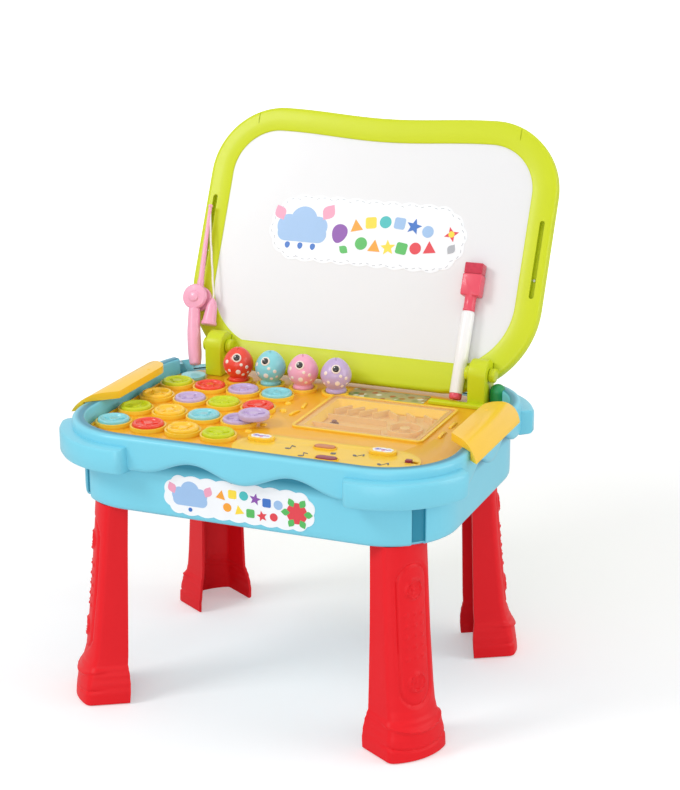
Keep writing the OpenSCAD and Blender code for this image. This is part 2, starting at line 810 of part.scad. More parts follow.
module lid_frame() color(lime) at_lid() difference() {
    union() {
        difference() {
            translate([0, 0, -frame_t]) linear_extrude(frame_t)
                polygon(lid_points(0));
            // window and the rebate for the board
            translate([0, 0, -frame_t - 1]) linear_extrude(frame_t + 2)
                lid_window(bar_w, band_w);
            translate([0, 0, -frame_t - 1]) linear_extrude(frame_t + 1 - lip_t)
                lid_window(bar_w - lip_w, band_w - lip_w);
            // hollow bars, open at the back
            translate([0, 0, -frame_t - 1]) linear_extrude(frame_t + 1 - skin)
                difference() {
                    polygon(lid_points(skin));
                    lid_window(bar_w - lip_w - skin, band_w - lip_w - skin);
                }
        }
        intersection() {
            lid_screw_places() translate([0, 0, -frame_t])
                cylinder(r = 3.5, h = frame_t - 1);
            translate([0, 0, -frame_t]) linear_extrude(frame_t)
                polygon(lid_points(1));
        }
        pocket_walls();
        for (s = [-1, 1], side = [-1, 1])
            translate([s * ear_x + side * (ear_w / 2 + ear_gap + boss_w / 2),
                0, 0]) hinge_boss();
    }
    ear_pocket();
    for (s = [-1, 1]) translate([s * ear_x, hinge_s, hinge_n])
        along_x(0, pin_r + run, bore_l);
    lid_screw_places() translate([0, 0, -frame_t - 1])
        cylinder(r = lid_screw_r + run, h = 7);
    // catch slots for the side latches
    for (s = [-1, 1]) translate([s * slot_x, slot_s, -skin - 0.5])
        linear_extrude(skin + 2) rotate(90) stadium(slot_l, slot_w);
}

// walls that close the hollow bars beside each ear
module pocket_walls() intersection() {
    for (s = [-1, 1], side = [-1, 1])
        translate([s * ear_x + side * (ear_w / 2 + ear_gap + 1), 20, -5])
            cube([2 + eps, 50, 10], center = true);
    translate([0, 0, -frame_t]) linear_extrude(frame_t) difference() {
        polygon(lid_points(1));
        lid_window(bar_w - lip_w, band_w - lip_w);
    }
}

module hinge_boss() {
    translate([0, hinge_s, hinge_n]) along_x(0, boss_r, boss_w);
    translate([0, hinge_s + 3, (hinge_n - skin) / 2 + 1])
        cube([boss_w, 8, hinge_n + skin - 2], center = true);
}

module drawing_board() color("white") at_lid() difference() {
    translate([0, 0, -lip_t - board_t]) linear_extrude(board_t)
        lid_window(bar_w - lip_w + fit, band_w - lip_w + fit);
    ear_pocket();
}

module lid_back_panel() color(lime) at_lid() difference() {
    union() {
        translate([0, 0, -lid_t]) linear_extrude(lid_t - frame_t)
            polygon(lid_points(0));
        // ribs that press on the board
        for (x = [-90, 0, 90]) translate([x, lid_h / 2, -frame_t - eps])
            linear_extrude(frame_t - lip_t - board_t)
            square([2, lid_h - band_w - bar_w - 30], center = true);
    }
    ear_pocket();
    lid_screw_places() translate([0, 0, -lid_t - 1]) {
        cylinder(r = lid_screw_r + fit, h = 10);
        cylinder(r = lid_screw_head + 0.2, h = 2);
    }
}

module lid_screws() color(steel) at_lid() lid_screw_places()
    translate([0, 0, -lid_t]) {
        cylinder(r = lid_screw_head, h = 1);
        cylinder(r = lid_screw_r, h = 7);
    }

lid_label_l = 214;
lid_label_w = 70;
lid_label_t = 0.3;
lid_label_at = [-4, (lid_h + band_w - bar_w) / 2 + 11];
module lid_label() color([0.95, 0.95, 1]) at_lid()
    translate([lid_label_at[0], lid_label_at[1], -lip_t])
    linear_extrude(lid_label_t) stadium(lid_label_l, lid_label_w);

// ---- latches -----------------------------------------------------------

// all measured from the latch's axis: x outwards, z up, y along the tub
latch_out = 7.2;
latch_in = latch_out - latch_w;
latch_top = latch_drop + latch_h;
latch_bend = 24;
latch_edge = 1;
latch_end = latch_w / 2;
latch_rim = latch_drop + seat_gap;

// the latch's arched section, moved in by inset and cut off at a height
module latch_arch(inset, low) intersection() {
    union() {
        translate([latch_out - latch_bend, latch_top - latch_bend])
            circle(r = latch_bend - inset);
        translate([latch_in, low]) square([latch_w - latch_bend,
            latch_top - inset - low]);
    }
    translate([latch_in + inset, low]) square([latch_w, 3 * latch_bend]);
}

// the latch seen from above: a slanted front end and a round rear end
function latch_nose(x, inset) = latch_y0
    + latch_slant * (latch_out - x) / latch_w
    + inset * norm([latch_w, latch_slant]) / latch_w;
module latch_plan(inset) polygon(concat(
    [[latch_in + inset, latch_nose(latch_in + inset, inset)],
     [latch_out - inset, latch_nose(latch_out - inset, inset)]],
    arc(latch_out - latch_end, latch_y1 - latch_end, latch_end - inset, 0, 180)));

module latch_solid(inset, low) intersection() {
    rotate([90, 0, 0]) linear_extrude(3 * lug_y, center = true)
        latch_arch(inset, low);
    linear_extrude(6 * latch_top, center = true) latch_plan(inset);
}

module latch(s) color(sun) at_tub() translate([s * latch_x, 0, latch_z])
    mirror([s > 0 ? 0 : 1, 0, 0]) {
        difference() {
            latch_solid(0, latch_edge);
            latch_solid(latch_t, -latch_bend);
            // room for the tub's rim
            translate([-2 * latch_w - latch_off + seat_gap, -2 * lug_y,
                latch_rim - 2 * latch_bend])
                cube([2 * latch_w, 4 * lug_y, 2 * latch_bend]);
        }
        // rib that lies over the rim
        translate([-latch_off - rim_over + 1, latch_y - latch_hub, latch_rim])
            cube([2, 2 * latch_hub, latch_top - latch_t - latch_rim + eps]);
        for (e = [-1, 1]) latch_knuckle(latch_y
            + e * (latch_hub / 2 + fit + latch_barrel_l / 2));
    }

// barrel with the web that joins it to the latch's outer wall
module latch_knuckle(y) difference() {
    union() {
        along_y(y, latch_barrel, latch_barrel_l);
        translate([0, y - latch_barrel_l / 2, 0])
            cube([latch_out - latch_t, latch_barrel_l, latch_barrel]);
    }
    along_y(y, latch_pin_r, latch_barrel_l + 2);
}

// ---- marker ------------------------------------------------------------

module at_marker(s) at_lid() translate([marker_x, marker_s + s, marker_n])
    rotate([-90, 0, 0]) children();

plug_l = 6;
nib_r = marker_r - 1.2;
block_w = 20;
block_l = 22;
eraser_l = 11;
cap_from = marker_l - eraser_l - block_l - 21;
module marker_barrel() color("white") at_marker(plug_l) {
    cylinder(r = marker_r, h = cap_from - plug_l - eps);
    cylinder(r = nib_r, h = cap_from + 4);
}

module marker_plug() color(scarlet) at_marker(0)
    cylinder(r = marker_r - 0.3, h = plug_l);

module marker_cap() color(scarlet) at_marker(cap_from) difference() {
    union() {
        cylinder(r = marker_r + 0.3, h = marker_l - cap_from - block_l - 10);
        // the block behind the eraser holds the magnet against the board
        translate([-block_w / 2, -marker_r, marker_l - cap_from - eraser_l - block_l])
            cube([block_w, marker_r + marker_n + lip_t - seat_gap, block_l]);
    }
    translate([0, 0, -1]) cylinder(r = nib_r + run, h = 12);
}

module marker_eraser() color([0.75, 0.2, 0.25]) at_marker(marker_l - eraser_l)
    translate([0.5 - block_w / 2, 0.5 - marker_r, 0])
    cube([block_w - 1, marker_r + marker_n, eraser_l]);

// ---- fishing rod -------------------------------------------------------

module rod_grip() color(rose) at_lid() tube(grip_route, grip_radii, 20);

module rod_reel() color(rose) at_lid()
    translate([reel_at[0], reel_at[1], seat_gap]) {
        cylinder(r = reel_r, h = reel_t);
        translate([0, 0, 5]) cylinder(r = 5, h = reel_t - 3);
    }

module rod_shaft() color(rose) at_lid() {
    d = shaft_to - shaft_from;
    translate(shaft_from) rotate([0, acos(d[2] / norm(d)), atan2(d[1], d[0])])
        cylinder(r1 = 3.6, r2 = 1.8, h = norm(d));
}

module fishing_line() color([0.95, 0.9, 0.8]) at_lid()
    tube(line_route, [for (p = line_route) line_r], 8);

module lure() color(rose) at_lid() translate(lure_at) rotate([-90, 0, 0])
    rotate_extrude() polygon([[0, 0], [lure_r, 0], [lure_r, 3],
        [lure_r - 1.5, 5], [lure_r - 2.5, 20], [lure_r - 4, 25],
        [2, lure_l], [0, lure_l]]);

// ---- fish, discs and buttons --------------------------------------------

function egg(z) = let (t = z / fish_h)
    fish_r * sqrt(max(0, 1 - pow(abs(2 * t - 0.84) / (t > 0.42 ? 1.16 : 1.3),
        2.2)));

module fish(i, shade) color(shade) at_tub()
    translate([fish_x0 + i * fish_dx, fish_y, panel_z + fish_seat + seat_gap])
    difference() {
        rotate_extrude() polygon(concat([[0, 0], [fish_r - 5, 0],
            [fish_r - 5, 2], [fish_r - 6, 3]],
            [for (k = [2:15]) [egg(fish_h * k / 16), fish_h * k / 16]],
            [[0, fish_h]]));
        // mouth
        translate([0, 0, fish_h]) rotate([0, 45, 0])
            cube([3.5, 3 * fish_r, 3.5], center = true);
    }

module disc() difference() {
    cylinder(r = disc_r, h = disc_t);
    translate([0, 0, disc_t - 1.2]) difference() {
        cylinder(r = disc_r - 2.5, h = 2);
        translate([0, 0, -1]) cylinder(r = 5, h = 4);
    }
}

module discs(at, shade) color(shade) at_tub() for (p = at)
    translate([seat_x0 + p[0] * seat_dx, seat_y0 + p[1] * seat_dy,
        panel_z + seat_floor + seat_gap]) disc();

module discs_teal() discs([[0, 0], [2, 1], [3, 3]], aqua);
module discs_red() discs([[1, 0], [3, 2], [1, 3]], scarlet);
module discs_yellow() discs([[2, 0], [1, 1], [0, 2]], sun);
module discs_lime() discs([[3, 0], [0, 1], [2, 2], [0, 3]], lime);
module discs_lilac() {
    discs([[3, 1], [1, 2], [2, 3]], violet);
    // one more disc lies on top of its neighbour
    color(violet) at_tub() translate([seat_x0 + 3 * seat_dx + disc_r,
        seat_y0 + seat_dy + 2, panel_z + seat_floor + 2 * seat_gap + disc_t])
        disc();
}

module key_button(at, l, w, up, shade) color(shade) at_tub()
    translate([at[0], at[1], 0]) {
        translate([0, 0, panel_z - panel_t - 1.5]) linear_extrude(up
            + panel_t + 1.5) stadium(l, w);
        translate([0, 0, panel_z - panel_t - fit - 1.5]) linear_extrude(1.5)
            stadium(l + 3, w + 3);
        translate([0, 0, plunger_z]) cylinder(r = 2.5,
            h = panel_z - panel_t - 1 - plunger_z);
    }

module button_song()
    key_button(song_at, big_l, big_w, music_h + 3, violet);
module button_note()
    key_button(note_at, big_l, big_w, music_h + 3, violet);
module button_oval_back()
    key_button(oval_back_at, oval_l, oval_w, music_h + 2, [0.75, 0.35, 0.15]);
module button_oval_front()
    key_button(oval_front_at, oval_l, oval_w, music_h + 2, [0.5, 0.1, 0.2]);

module power_switch() color([0.45, 0.1, 0.15]) at_tub()
    translate([switch_at[0], switch_at[1], panel_z - panel_t - fit - 1.5]) {
        translate([-4.5, -4, 0]) cube([9, 8, 1.5]);
        translate([-3, -2.5, 0]) cube([6, 5, panel_t + music_h + 4]);
    }

// ---- nodes -------------------------------------------------------------

tub();
leg(-1, -1);  // leg_front_left
leg(1, -1);  // leg_front_right
leg(-1, 1);  // leg_back_left
leg(1, 1);  // leg_back_right
play_panel();
hinge_ear(-1);  // hinge_ear_left
hinge_ear(1);  // hinge_ear_right
hinge_pins();
latch_pins();
rod_rest();
rear_cap();
maze_tray();
maze_cover();
maze_bead();
picture_card();
batteries();
battery_contacts();
battery_door();
battery_door_screw();
speaker();
circuit_board();
button_pads();
panel_screws();
front_label();
lid_frame();
drawing_board();
lid_back_panel();
lid_screws();
lid_label();
latch(-1);  // latch_left
latch(1);  // latch_right
marker_barrel();
marker_cap();
marker_eraser();
marker_plug();
rod_grip();
rod_reel();
rod_shaft();
fishing_line();
lure();
fish(0, scarlet);  // fish_red
fish(1, aqua);  // fish_teal
fish(2, rose);  // fish_pink
fish(3, violet);  // fish_lilac
discs_teal();
discs_red();
discs_yellow();
discs_lime();
discs_lilac();
button_song();
button_note();
button_oval_back();
button_oval_front();
power_switch();
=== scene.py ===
"""A musical activity table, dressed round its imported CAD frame."""

import json
import math

import bmesh
import bpy
from mathutils import Matrix, Vector

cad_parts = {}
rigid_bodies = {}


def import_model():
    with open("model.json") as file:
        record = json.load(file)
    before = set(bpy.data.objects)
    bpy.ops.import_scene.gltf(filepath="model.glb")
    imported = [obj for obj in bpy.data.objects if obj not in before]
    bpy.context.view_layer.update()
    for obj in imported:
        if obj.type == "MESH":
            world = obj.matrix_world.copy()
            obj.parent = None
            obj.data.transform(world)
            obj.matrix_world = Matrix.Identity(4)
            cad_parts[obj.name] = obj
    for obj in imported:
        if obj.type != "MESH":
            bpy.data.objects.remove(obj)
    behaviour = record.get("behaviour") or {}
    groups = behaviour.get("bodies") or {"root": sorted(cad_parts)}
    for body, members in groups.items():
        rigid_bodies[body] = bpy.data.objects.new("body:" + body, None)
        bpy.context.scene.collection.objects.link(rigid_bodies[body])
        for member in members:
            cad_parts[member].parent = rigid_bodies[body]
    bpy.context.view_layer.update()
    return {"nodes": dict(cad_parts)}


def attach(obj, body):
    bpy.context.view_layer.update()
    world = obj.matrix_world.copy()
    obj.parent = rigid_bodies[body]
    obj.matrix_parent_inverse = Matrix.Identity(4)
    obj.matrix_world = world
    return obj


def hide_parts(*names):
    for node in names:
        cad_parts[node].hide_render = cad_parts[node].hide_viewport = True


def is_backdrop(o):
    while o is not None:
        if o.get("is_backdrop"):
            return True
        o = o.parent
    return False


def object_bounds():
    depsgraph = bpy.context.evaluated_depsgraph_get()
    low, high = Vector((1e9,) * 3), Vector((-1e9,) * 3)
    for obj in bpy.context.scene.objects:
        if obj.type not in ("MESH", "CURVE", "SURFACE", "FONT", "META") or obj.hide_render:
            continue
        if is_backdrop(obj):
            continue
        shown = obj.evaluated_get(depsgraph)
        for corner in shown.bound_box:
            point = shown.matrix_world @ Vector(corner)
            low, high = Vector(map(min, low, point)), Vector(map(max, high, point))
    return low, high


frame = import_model()

MM = 0.001
# sizes are in millimetres, from the middle of the tub; on the lid x runs across, s up
# along its face and n out of it
TUB_Y = -43
TUB_L, TUB_W, TUB_R = 368, 274, 66
LEG_H, RIM_Z, PANEL_Z = 196, 271, 255
# a leg's turn from the tub's end, and how far its foot leans out
LEG_AIM, LEG_SPLAY = math.radians(31), 19
LEG_FROM_END, LEG_FROM_SIDE = 26, 21
RIM_OVER = 10
LID_W, LID_H = 374, 277
LID_RT, LID_RB, LID_DIP = 73, 92, 5
BAR_W, BAND_W = 25, 30
LID_TILT = 25.2
HINGE_Y, HINGE_Z, HINGE_S, HINGE_N = 118, 284, 21, 7.7
EAR_X, EAR_W, EAR_R = 141, 18, 15
BACK_CUT_LEFT, BACK_CUT_RIGHT, BACK_CUT_Y, BACK_CUT_Z = -178, 156, 90, 254
MERGE = 0.002 * MM


def moved(x, y, z):
    return Matrix.Translation(Vector((x, y, z)) * MM)


def turned_by(degrees, axis):
    return Matrix.Rotation(math.radians(degrees), 4, axis)


def ray(degrees):
    """The unit direction at an angle, as its x and y."""
    return math.cos(math.radians(degrees)), math.sin(math.radians(degrees))


SIDES = ((-1, "left"), (1, "right"))
TUB = moved(0, TUB_Y, 0)
LID = (moved(0, HINGE_Y + TUB_Y, HINGE_Z) @ turned_by(90 - LID_TILT, "X")
       @ moved(0, -HINGE_S, -HINGE_N))


def leg_place(side, depth):
    """The middle of a leg's outer face under the tub, with x pointing out."""
    aim = math.atan2(depth * math.sin(LEG_AIM), side * math.cos(LEG_AIM))
    return (moved(side * (TUB_L / 2 - LEG_FROM_END),
                  depth * (TUB_W / 2 - LEG_FROM_SIDE) + TUB_Y, 0)
            @ turned_by(math.degrees(aim), "Z"))


# ---- hand tools -------------------------------------------------------------

def only(piece):
    if bpy.context.mode != "OBJECT":
        bpy.ops.object.mode_set(mode="OBJECT")
    bpy.ops.object.select_all(action="DESELECT")
    if piece:
        piece.select_set(True)
        bpy.context.view_layer.objects.active = piece


def edit(piece):
    only(piece)
    bpy.ops.object.mode_set(mode="EDIT")


def named(name):
    piece = bpy.context.object
    piece.name = piece.data.name = name
    return piece


def put(point):
    return Vector(point) * MM


def loft(name, rings, loop=False):
    """A skin through rings of points: one circle, extruded from ring to ring."""
    only(None)
    bpy.ops.mesh.primitive_circle_add(vertices=len(rings[0]), radius=1)
    piece = named(name)
    for vert, point in zip(piece.data.vertices, rings[0]):
        vert.co = put(point)
    edit(piece)
    mesh = bmesh.from_edit_mesh(piece.data)
    order = mesh.verts.layers.int.new("order")
    for number, vert in enumerate(mesh.verts):
        vert[order] = number
    bpy.ops.mesh.select_all(action="SELECT")
    for ring in rings[1:] + ([rings[0]] if loop else []):
        bpy.ops.mesh.extrude_edges_move()
        mesh = bmesh.from_edit_mesh(piece.data)
        order = mesh.verts.layers.int["order"]
        for vert in mesh.verts:
            if vert.select:
                vert.co = put(ring[vert[order]])
        bmesh.update_edit_mesh(piece.data)
    if not loop:
        bpy.ops.mesh.edge_face_add()
        bpy.ops.mesh.select_all(action="DESELECT")
        bpy.ops.mesh.select_non_manifold()
        bpy.ops.mesh.edge_face_add()
    bpy.ops.mesh.select_all(action="SELECT")
    bpy.ops.mesh.remove_doubles(threshold=MERGE)
    bpy.ops.mesh.normals_make_consistent(inside=False)
    bpy.ops.object.mode_set(mode="OBJECT")
    piece.data.attributes.remove(piece.data.attributes["order"])
    return piece


def soften(piece, width, steps, angle=35):
    """Rounds every edge sharper than the angle."""
    only(piece)
    bevel = piece.modifiers.new("soft edge", "BEVEL")
    bevel.width = width * MM
    bevel.segments = steps
    bevel.limit_method = "ANGLE"
    bevel.angle_limit = math.radians(angle)
    bpy.ops.object.modifier_apply(modifier=bevel.name)
    return piece


def plate(name, outline, low, high, edge, steps=3):
    """A flat outline drawn up into a plate with soft edges."""
    piece = loft(name, [[(x, y, low) for x, y in outline],
                        [(x, y, high) for x, y in outline]])
    return soften(piece, edge, steps) if edge else piece


def circle(r, count=32):
    angles = [2 * math.pi * k / count for k in range(count)]
    return [(r * math.cos(a), r * math.sin(a)) for a in angles]


def turned(name, profile, count=48):
    """A turned shape: radius and height pairs swung round the upright axis."""
    return loft(name, [[(x, y, z) for x, y in circle(r, count)] for r, z in profile])


def sheet(name, columns, rows, spot):
    """A grid whose points are set by spot(u, v), with u and v from -1 to 1."""
    only(None)
    bpy.ops.mesh.primitive_grid_add(x_subdivisions=columns, y_subdivisions=rows, size=2)
    piece = named(name)
    for vert in piece.data.vertices:
        vert.co = put(spot(vert.co.x, vert.co.y))
    return piece


def thicken(piece, thickness):
    """Gives a sheet a wall on its inner side."""
    only(piece)
    wall = piece.modifiers.new("wall", "SOLIDIFY")
    wall.thickness = thickness * MM
    wall.offset = -1
    bpy.ops.object.modifier_apply(modifier=wall.name)
    return piece


def removed(piece):
    only(piece)
    bpy.ops.object.delete()


def carve(piece, cutter, operation="DIFFERENCE"):
    """Cuts one piece out of another, or joins it, and clears the cutter away."""
    only(piece)
    cut = piece.modifiers.new("cut", "BOOLEAN")
    cut.operation = operation
    cut.solver = "EXACT"
    cut.object = cutter
    bpy.ops.object.modifier_apply(modifier=cut.name)
    removed(cutter)
    return piece


def copy_of(piece, name):
    only(piece)
    bpy.ops.object.duplicate()
    return named(name)


def joined(name, pieces):
    only(pieces[0])
    for piece in pieces:
        piece.select_set(True)
    bpy.ops.object.join()
    return named(name)


def settle(piece, place):
    """Moves a piece by a place and takes that into its mesh."""
    only(piece)
    piece.matrix_world = place
    bpy.ops.object.transform_apply()
    return piece


def block(name, low, high, edge, steps=3):
    """A box between two corners, with soft edges."""
    outline = [(low[0], low[1]), (high[0], low[1]), (high[0], high[1]),
               (low[0], high[1])]
    return plate(name, outline, low[2], high[2], edge, steps)


def upright(facing):
    """The turn that sets the upright axis along a direction."""
    return facing.to_track_quat("Z", "Y").to_matrix().to_4x4()


def drilled(piece, r, low, high, count, place):
    """Bores a round hole between two heights of a place."""
    return carve(piece, settle(turned("cut", [(r, low), (r, high)], count), place))


def of_cad(source, name, edge, steps, angle=30):
    """A copy of a CAD node, merged and cleaned, with soft edges."""
    piece = copy_of(frame["nodes"][source], name)
    bpy.ops.object.parent_clear(type="CLEAR_KEEP_TRANSFORM")
    edit(piece)
    bpy.ops.mesh.select_all(action="SELECT")
    bpy.ops.mesh.remove_doubles(threshold=MERGE)
    bpy.ops.mesh.dissolve_limited(angle_limit=math.radians(1))
    bpy.ops.object.mode_set(mode="OBJECT")
    bpy.ops.object.transform_apply()
    return soften(piece, edge, steps, angle)


def finish(piece, body, material, slot, *nodes, angle=38):
    """Gives a piece its finish and its body, and hides the CAD nodes that it stands for."""
    only(piece)
    bpy.ops.object.shade_smooth_by_angle(angle=math.radians(angle))
    piece.data.materials.clear()
    piece.data.materials.append(material)
    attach(piece, body)
    if nodes:
        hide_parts(*nodes)
    return piece


# ---- outlines ---------------------------------------------------------------

def arc(cx, cy, r, start, end, steps):
    rays = [ray(start + (end - start) * k / steps) for k in range(steps + 1)]
    return [(cx + r * x, cy + r * y) for x, y in rays]


def stadium(length, width):
    half = (length - width) / 2
    return arc(half, 0, width / 2, -90, 90, 16) + arc(-half, 0, width / 2, 90, 270, 16)


def rounded(length, width, r, steps=6):
    """A rectangle with round corners."""
    hx, hy = length / 2 - r, width / 2 - r
    return (arc(hx, -hy, r, -90, 0, steps) + arc(hx, hy, r, 0, 90, steps)
            + arc(-hx, hy, r, 90, 180, steps) + arc(-hx, -hy, r, 180, 270, steps))


def star(r, points=5, inner=0.45):
    tips = [(r if k % 2 == 0 else r * inner, math.pi * k / points)
            for k in range(2 * points)]
    return [(reach * math.sin(a), reach * math.cos(a)) for reach, a in tips]


def scalloped(length, width, lobes, swell):
    """A stadium with a wavy border."""
    half, r = (length - width) / 2, width / 2
    straight, bend = 2 * half, math.pi * r
    total = 2 * (straight + bend)
    outline = []
    count = lobes * 8
    for k in range(count):
        d = total * k / count
        if d < straight:
            x, y, nx, ny = -half + d, -r, 0, -1
        elif straight + bend <= d < 2 * straight + bend:
            x, y, nx, ny = half - (d - straight - bend), r, 0, 1
        else:
            first = d < straight + bend
            a = (-math.pi / 2 + (d - straight) / r if first
                 else math.pi / 2 + (d - 2 * straight - bend) / r)
            nx, ny = math.cos(a), math.sin(a)
            x, y = (half if first else -half) + r * nx, r * ny
        out = swell * (abs(math.sin(math.pi * lobes * d / total)) - 1)
        outline.append((x + nx * out, y + ny * out))
    return outline


def shifted(outline, x, y, turn=0, size=1):
    c, s = (part * size for part in ray(turn))
    return [(x + px * c - py * s, y + px * s + py * c) for px, py in outline]


# ---- finishes ---------------------------------------------------------------

def group(name, output, **inputs):
    """A node group with one output; tuples are colours, numbers plain values."""
    tree = bpy.data.node_groups.new(name, "ShaderNodeTree")
    for label, value in inputs.items():
        kind = "NodeSocketColor" if isinstance(value, tuple) else "NodeSocketFloat"
        socket = tree.interface.new_socket(label.replace("_", " "), in_out="INPUT",
                                           socket_type=kind)
        socket.default_value = value
    kind = "NodeSocketColor" if output == "Colour" else "NodeSocketFloat"
    tree.interface.new_socket(output, in_out="OUTPUT", socket_type=kind)
    given = tree.nodes.new("NodeGroupInput").outputs
    return tree, given, tree.nodes.new("NodeGroupOutput")


def wire(tree, socket, value):
    """Links an input to another node's output, or sets it to a plain value."""
    if isinstance(value, bpy.types.NodeSocket):
        tree.links.new(value, socket)
    else:
        socket.default_value = value


def feed(tree, target, **values):
    """Wires a node's inputs by name, with an underscore for each space."""
    for key, value in values.items():
        wire(tree, target.inputs[key.replace("_", " ")], value)


def node(tree, kind, **values):
    """A new node: each value is one of its settings, or else feeds an input."""
    made = tree.nodes.new(kind)
    for key, value in values.items():
        if hasattr(made, key):
            setattr(made, key, value)
        else:
            feed(tree, made, **{key: value})
    return made


def maths(tree, operation, a, b):
    made = node(tree, "ShaderNodeMath", operation=operation)
    wire(tree, made.inputs[0], a)
    wire(tree, made.inputs[1], b)
    return made.outputs[0]


def plus(tree, a, b):
    return maths(tree, "ADD", a, b)


def times(tree, a, b):
    return maths(tree, "MULTIPLY", a, b)


def larger(tree, a, b):
    return maths(tree, "MAXIMUM", a, b)


def blend_of(tree, share, low, high):
    """One colour for share 0, another for share 1."""
    made = node(tree, "ShaderNodeMix", data_type="RGBA")
    for number, value in ((0, share), (6, low), (7, high)):
        wire(tree, made.inputs[number], value)
    return made.outputs[2]


def ramp_of(tree, value, start, stop):
    """A rise from 0 at start to 1 at stop."""
    made = node(tree, "ShaderNodeMapRange", Value=value, From_Min=start, From_Max=stop)
    return made.outputs["Result"]


def object_spot(tree):
    return node(tree, "ShaderNodeTexCoord").outputs["Object"]


def noise(tree, scale, detail, spot=None, **looks):
    """Noise of a scale, over the piece unless another spot is given."""
    return node(tree, "ShaderNodeTexNoise", Vector=spot or object_spot(tree), Scale=scale,
                Detail=detail, **looks).outputs["Fac"]


def make_mould_texture():
    """Fine moulded grain over slow sink marks, as a height."""
    tree, given, end = group("Mould Texture", "Height", Grain_Scale=1400, Grain=0.25,
                             Waviness=0.6)
    grain = times(tree, noise(tree, given["Grain Scale"], 3.0, Roughness=0.6),
                  given["Grain"])
    wave = times(tree, noise(tree, 38.0, 1.0), given["Waviness"])
    feed(tree, end, Height=plus(tree, grain, wave))
    return tree


def make_plastic_tone():
    """Slow drift of a moulded colour, with the cloudiness of thick walls."""
    tree, given, end = group("Plastic Tone", "Colour", Colour=(0.8, 0.8, 0.8, 1),
                             Drift=0.05, Drift_Scale=16)
    cloud = plus(tree, noise(tree, given["Drift Scale"], 2.0), -0.5)
    speck = times(tree, plus(tree, noise(tree, 420.0, 2.0), -0.5), 0.35)
    value = plus(tree, times(tree, plus(tree, cloud, speck), given["Drift"]), 1.0)
    shade = node(tree, "ShaderNodeHueSaturation", Color=given["Colour"], Value=value)
    feed(tree, end, Colour=shade.outputs["Color"])
    return tree


def make_handled_gloss():
    """Roughness with faint finger smudges and hairline scuffs."""
    tree, given, end = group("Handled Gloss", "Roughness", Roughness=0.3, Smudge=0.08,
                             Scuff=0.06)
    smudge = plus(tree, noise(tree, 55.0, 3.0, Distortion=0.4), -0.5)
    stretch = node(tree, "ShaderNodeMapping", Vector=object_spot(tree),
                   Scale=(900, 60, 60), Rotation=(0.4, 0.3, 0.7))
    scuff = ramp_of(tree, noise(tree, 1.0, 2.0, stretch.outputs["Vector"]), 0.6, 0.75)
    handled = plus(tree, times(tree, smudge, given["Smudge"]), given["Roughness"])
    feed(tree, end, Roughness=plus(tree, handled, times(tree, scuff, given["Scuff"])))
    return tree


MOULD_TEXTURE = make_mould_texture()
PLASTIC_TONE = make_plastic_tone()
HANDLED_GLOSS = make_handled_gloss()


def use(tree, inner, **values):
    """The output of a node group that is used with these inputs."""
    made = tree.nodes.new("ShaderNodeGroup")
    made.node_tree = inner
    feed(tree, made, **values)
    return made.outputs[0]


def tone(tree, colour, drift, scale=16):
    return use(tree, PLASTIC_TONE, Colour=(*colour, 1), Drift=drift, Drift_Scale=scale)


def gloss(tree, rough, **looks):
    return use(tree, HANDLED_GLOSS, Roughness=rough, **looks)


def shader(name):
    material = bpy.data.materials.new(name)
    material.use_nodes = True
    tree = material.node_tree
    return material, tree, tree.nodes["Principled BSDF"]


def bump(tree, height, depth):
    """The normal that a height gives; depth is in metres."""
    return node(tree, "ShaderNodeBump", Strength=1.0, Distance=depth,
                Height=height).outputs["Normal"]


def plastic(name, colour, rough=0.3, coat=0.25, drift=0.06, grain=0.25, wave=0.6,
            depth=0.00006, shine=0.4):
    """Moulded plastic: drifting colour, handled gloss and a fine mould grain."""
    material, tree, body = shader(name)
    feed(tree, body, Base_Color=tone(tree, colour, drift), Roughness=gloss(tree, rough),
         Normal=bump(tree, use(tree, MOULD_TEXTURE, Grain=grain, Waviness=wave), depth),
         Coat_Weight=coat, Coat_Roughness=0.12, IOR=1.5, Specular_IOR_Level=shine)
    return material


def height_of(tree, spot):
    return node(tree, "ShaderNodeSeparateXYZ", Vector=spot).outputs["Z"]


def painted_floor_shade(tree):
    """Share of painted shade, a deeper orange, at the bottom of the play panel's recesses."""
    return ramp_of(tree, height_of(tree, object_spot(tree)), (PANEL_Z + 1.9) * MM,
                   (PANEL_Z + 0.6) * MM)


def painted_recess_shade(tree):
    """Share of painted shade: a dark teal in the tub's corner grooves and on the wall under its
    apron.
    """
    spot = object_spot(tree)
    level = height_of(tree, spot)
    # the length of what is left is the distance from the tub's straight middle, which is
    # the corner radius at its wall
    for operation, values in (("ADD", (0, -TUB_Y * MM, 0)), ("ABSOLUTE", (0, 0, 0)),
                              ("SUBTRACT", ((TUB_L / 2 - TUB_R) * MM,
                                            (TUB_W / 2 - TUB_R) * MM, 0)),
                              ("MAXIMUM", (0, 0, 0)), ("MULTIPLY", (1, 1, 0))):
        step = node(tree, "ShaderNodeVectorMath", operation=operation)
        wire(tree, step.inputs[0], spot)
        wire(tree, step.inputs[1], values)
        spot = step.outputs["Vector"]
    length = node(tree, "ShaderNodeVectorMath", operation="LENGTH")
    wire(tree, length.inputs[0], spot)
    reach = length.outputs["Value"]
    # what is measured, where its share of painted shade is none and where it is full: first for
    # the painted shadow on the wall under the apron, then for the painted shade in the corners'
    # grooves
    painted_shades = []
    for ramps in (((reach, 73.5, 69), (reach, 64.2, 65.2), (level, 235, 246)),
                  ((reach, 64.8, 63.8), (level, 198.4, 199), (level, 231.2, 230.6))):
        share, *others = [ramp_of(tree, value, start * MM, stop * MM)
                          for value, start, stop in ramps]
        for other in others:
            share = times(tree, share, other)
        painted_shades.append(share)
    return larger(tree, *painted_shades)


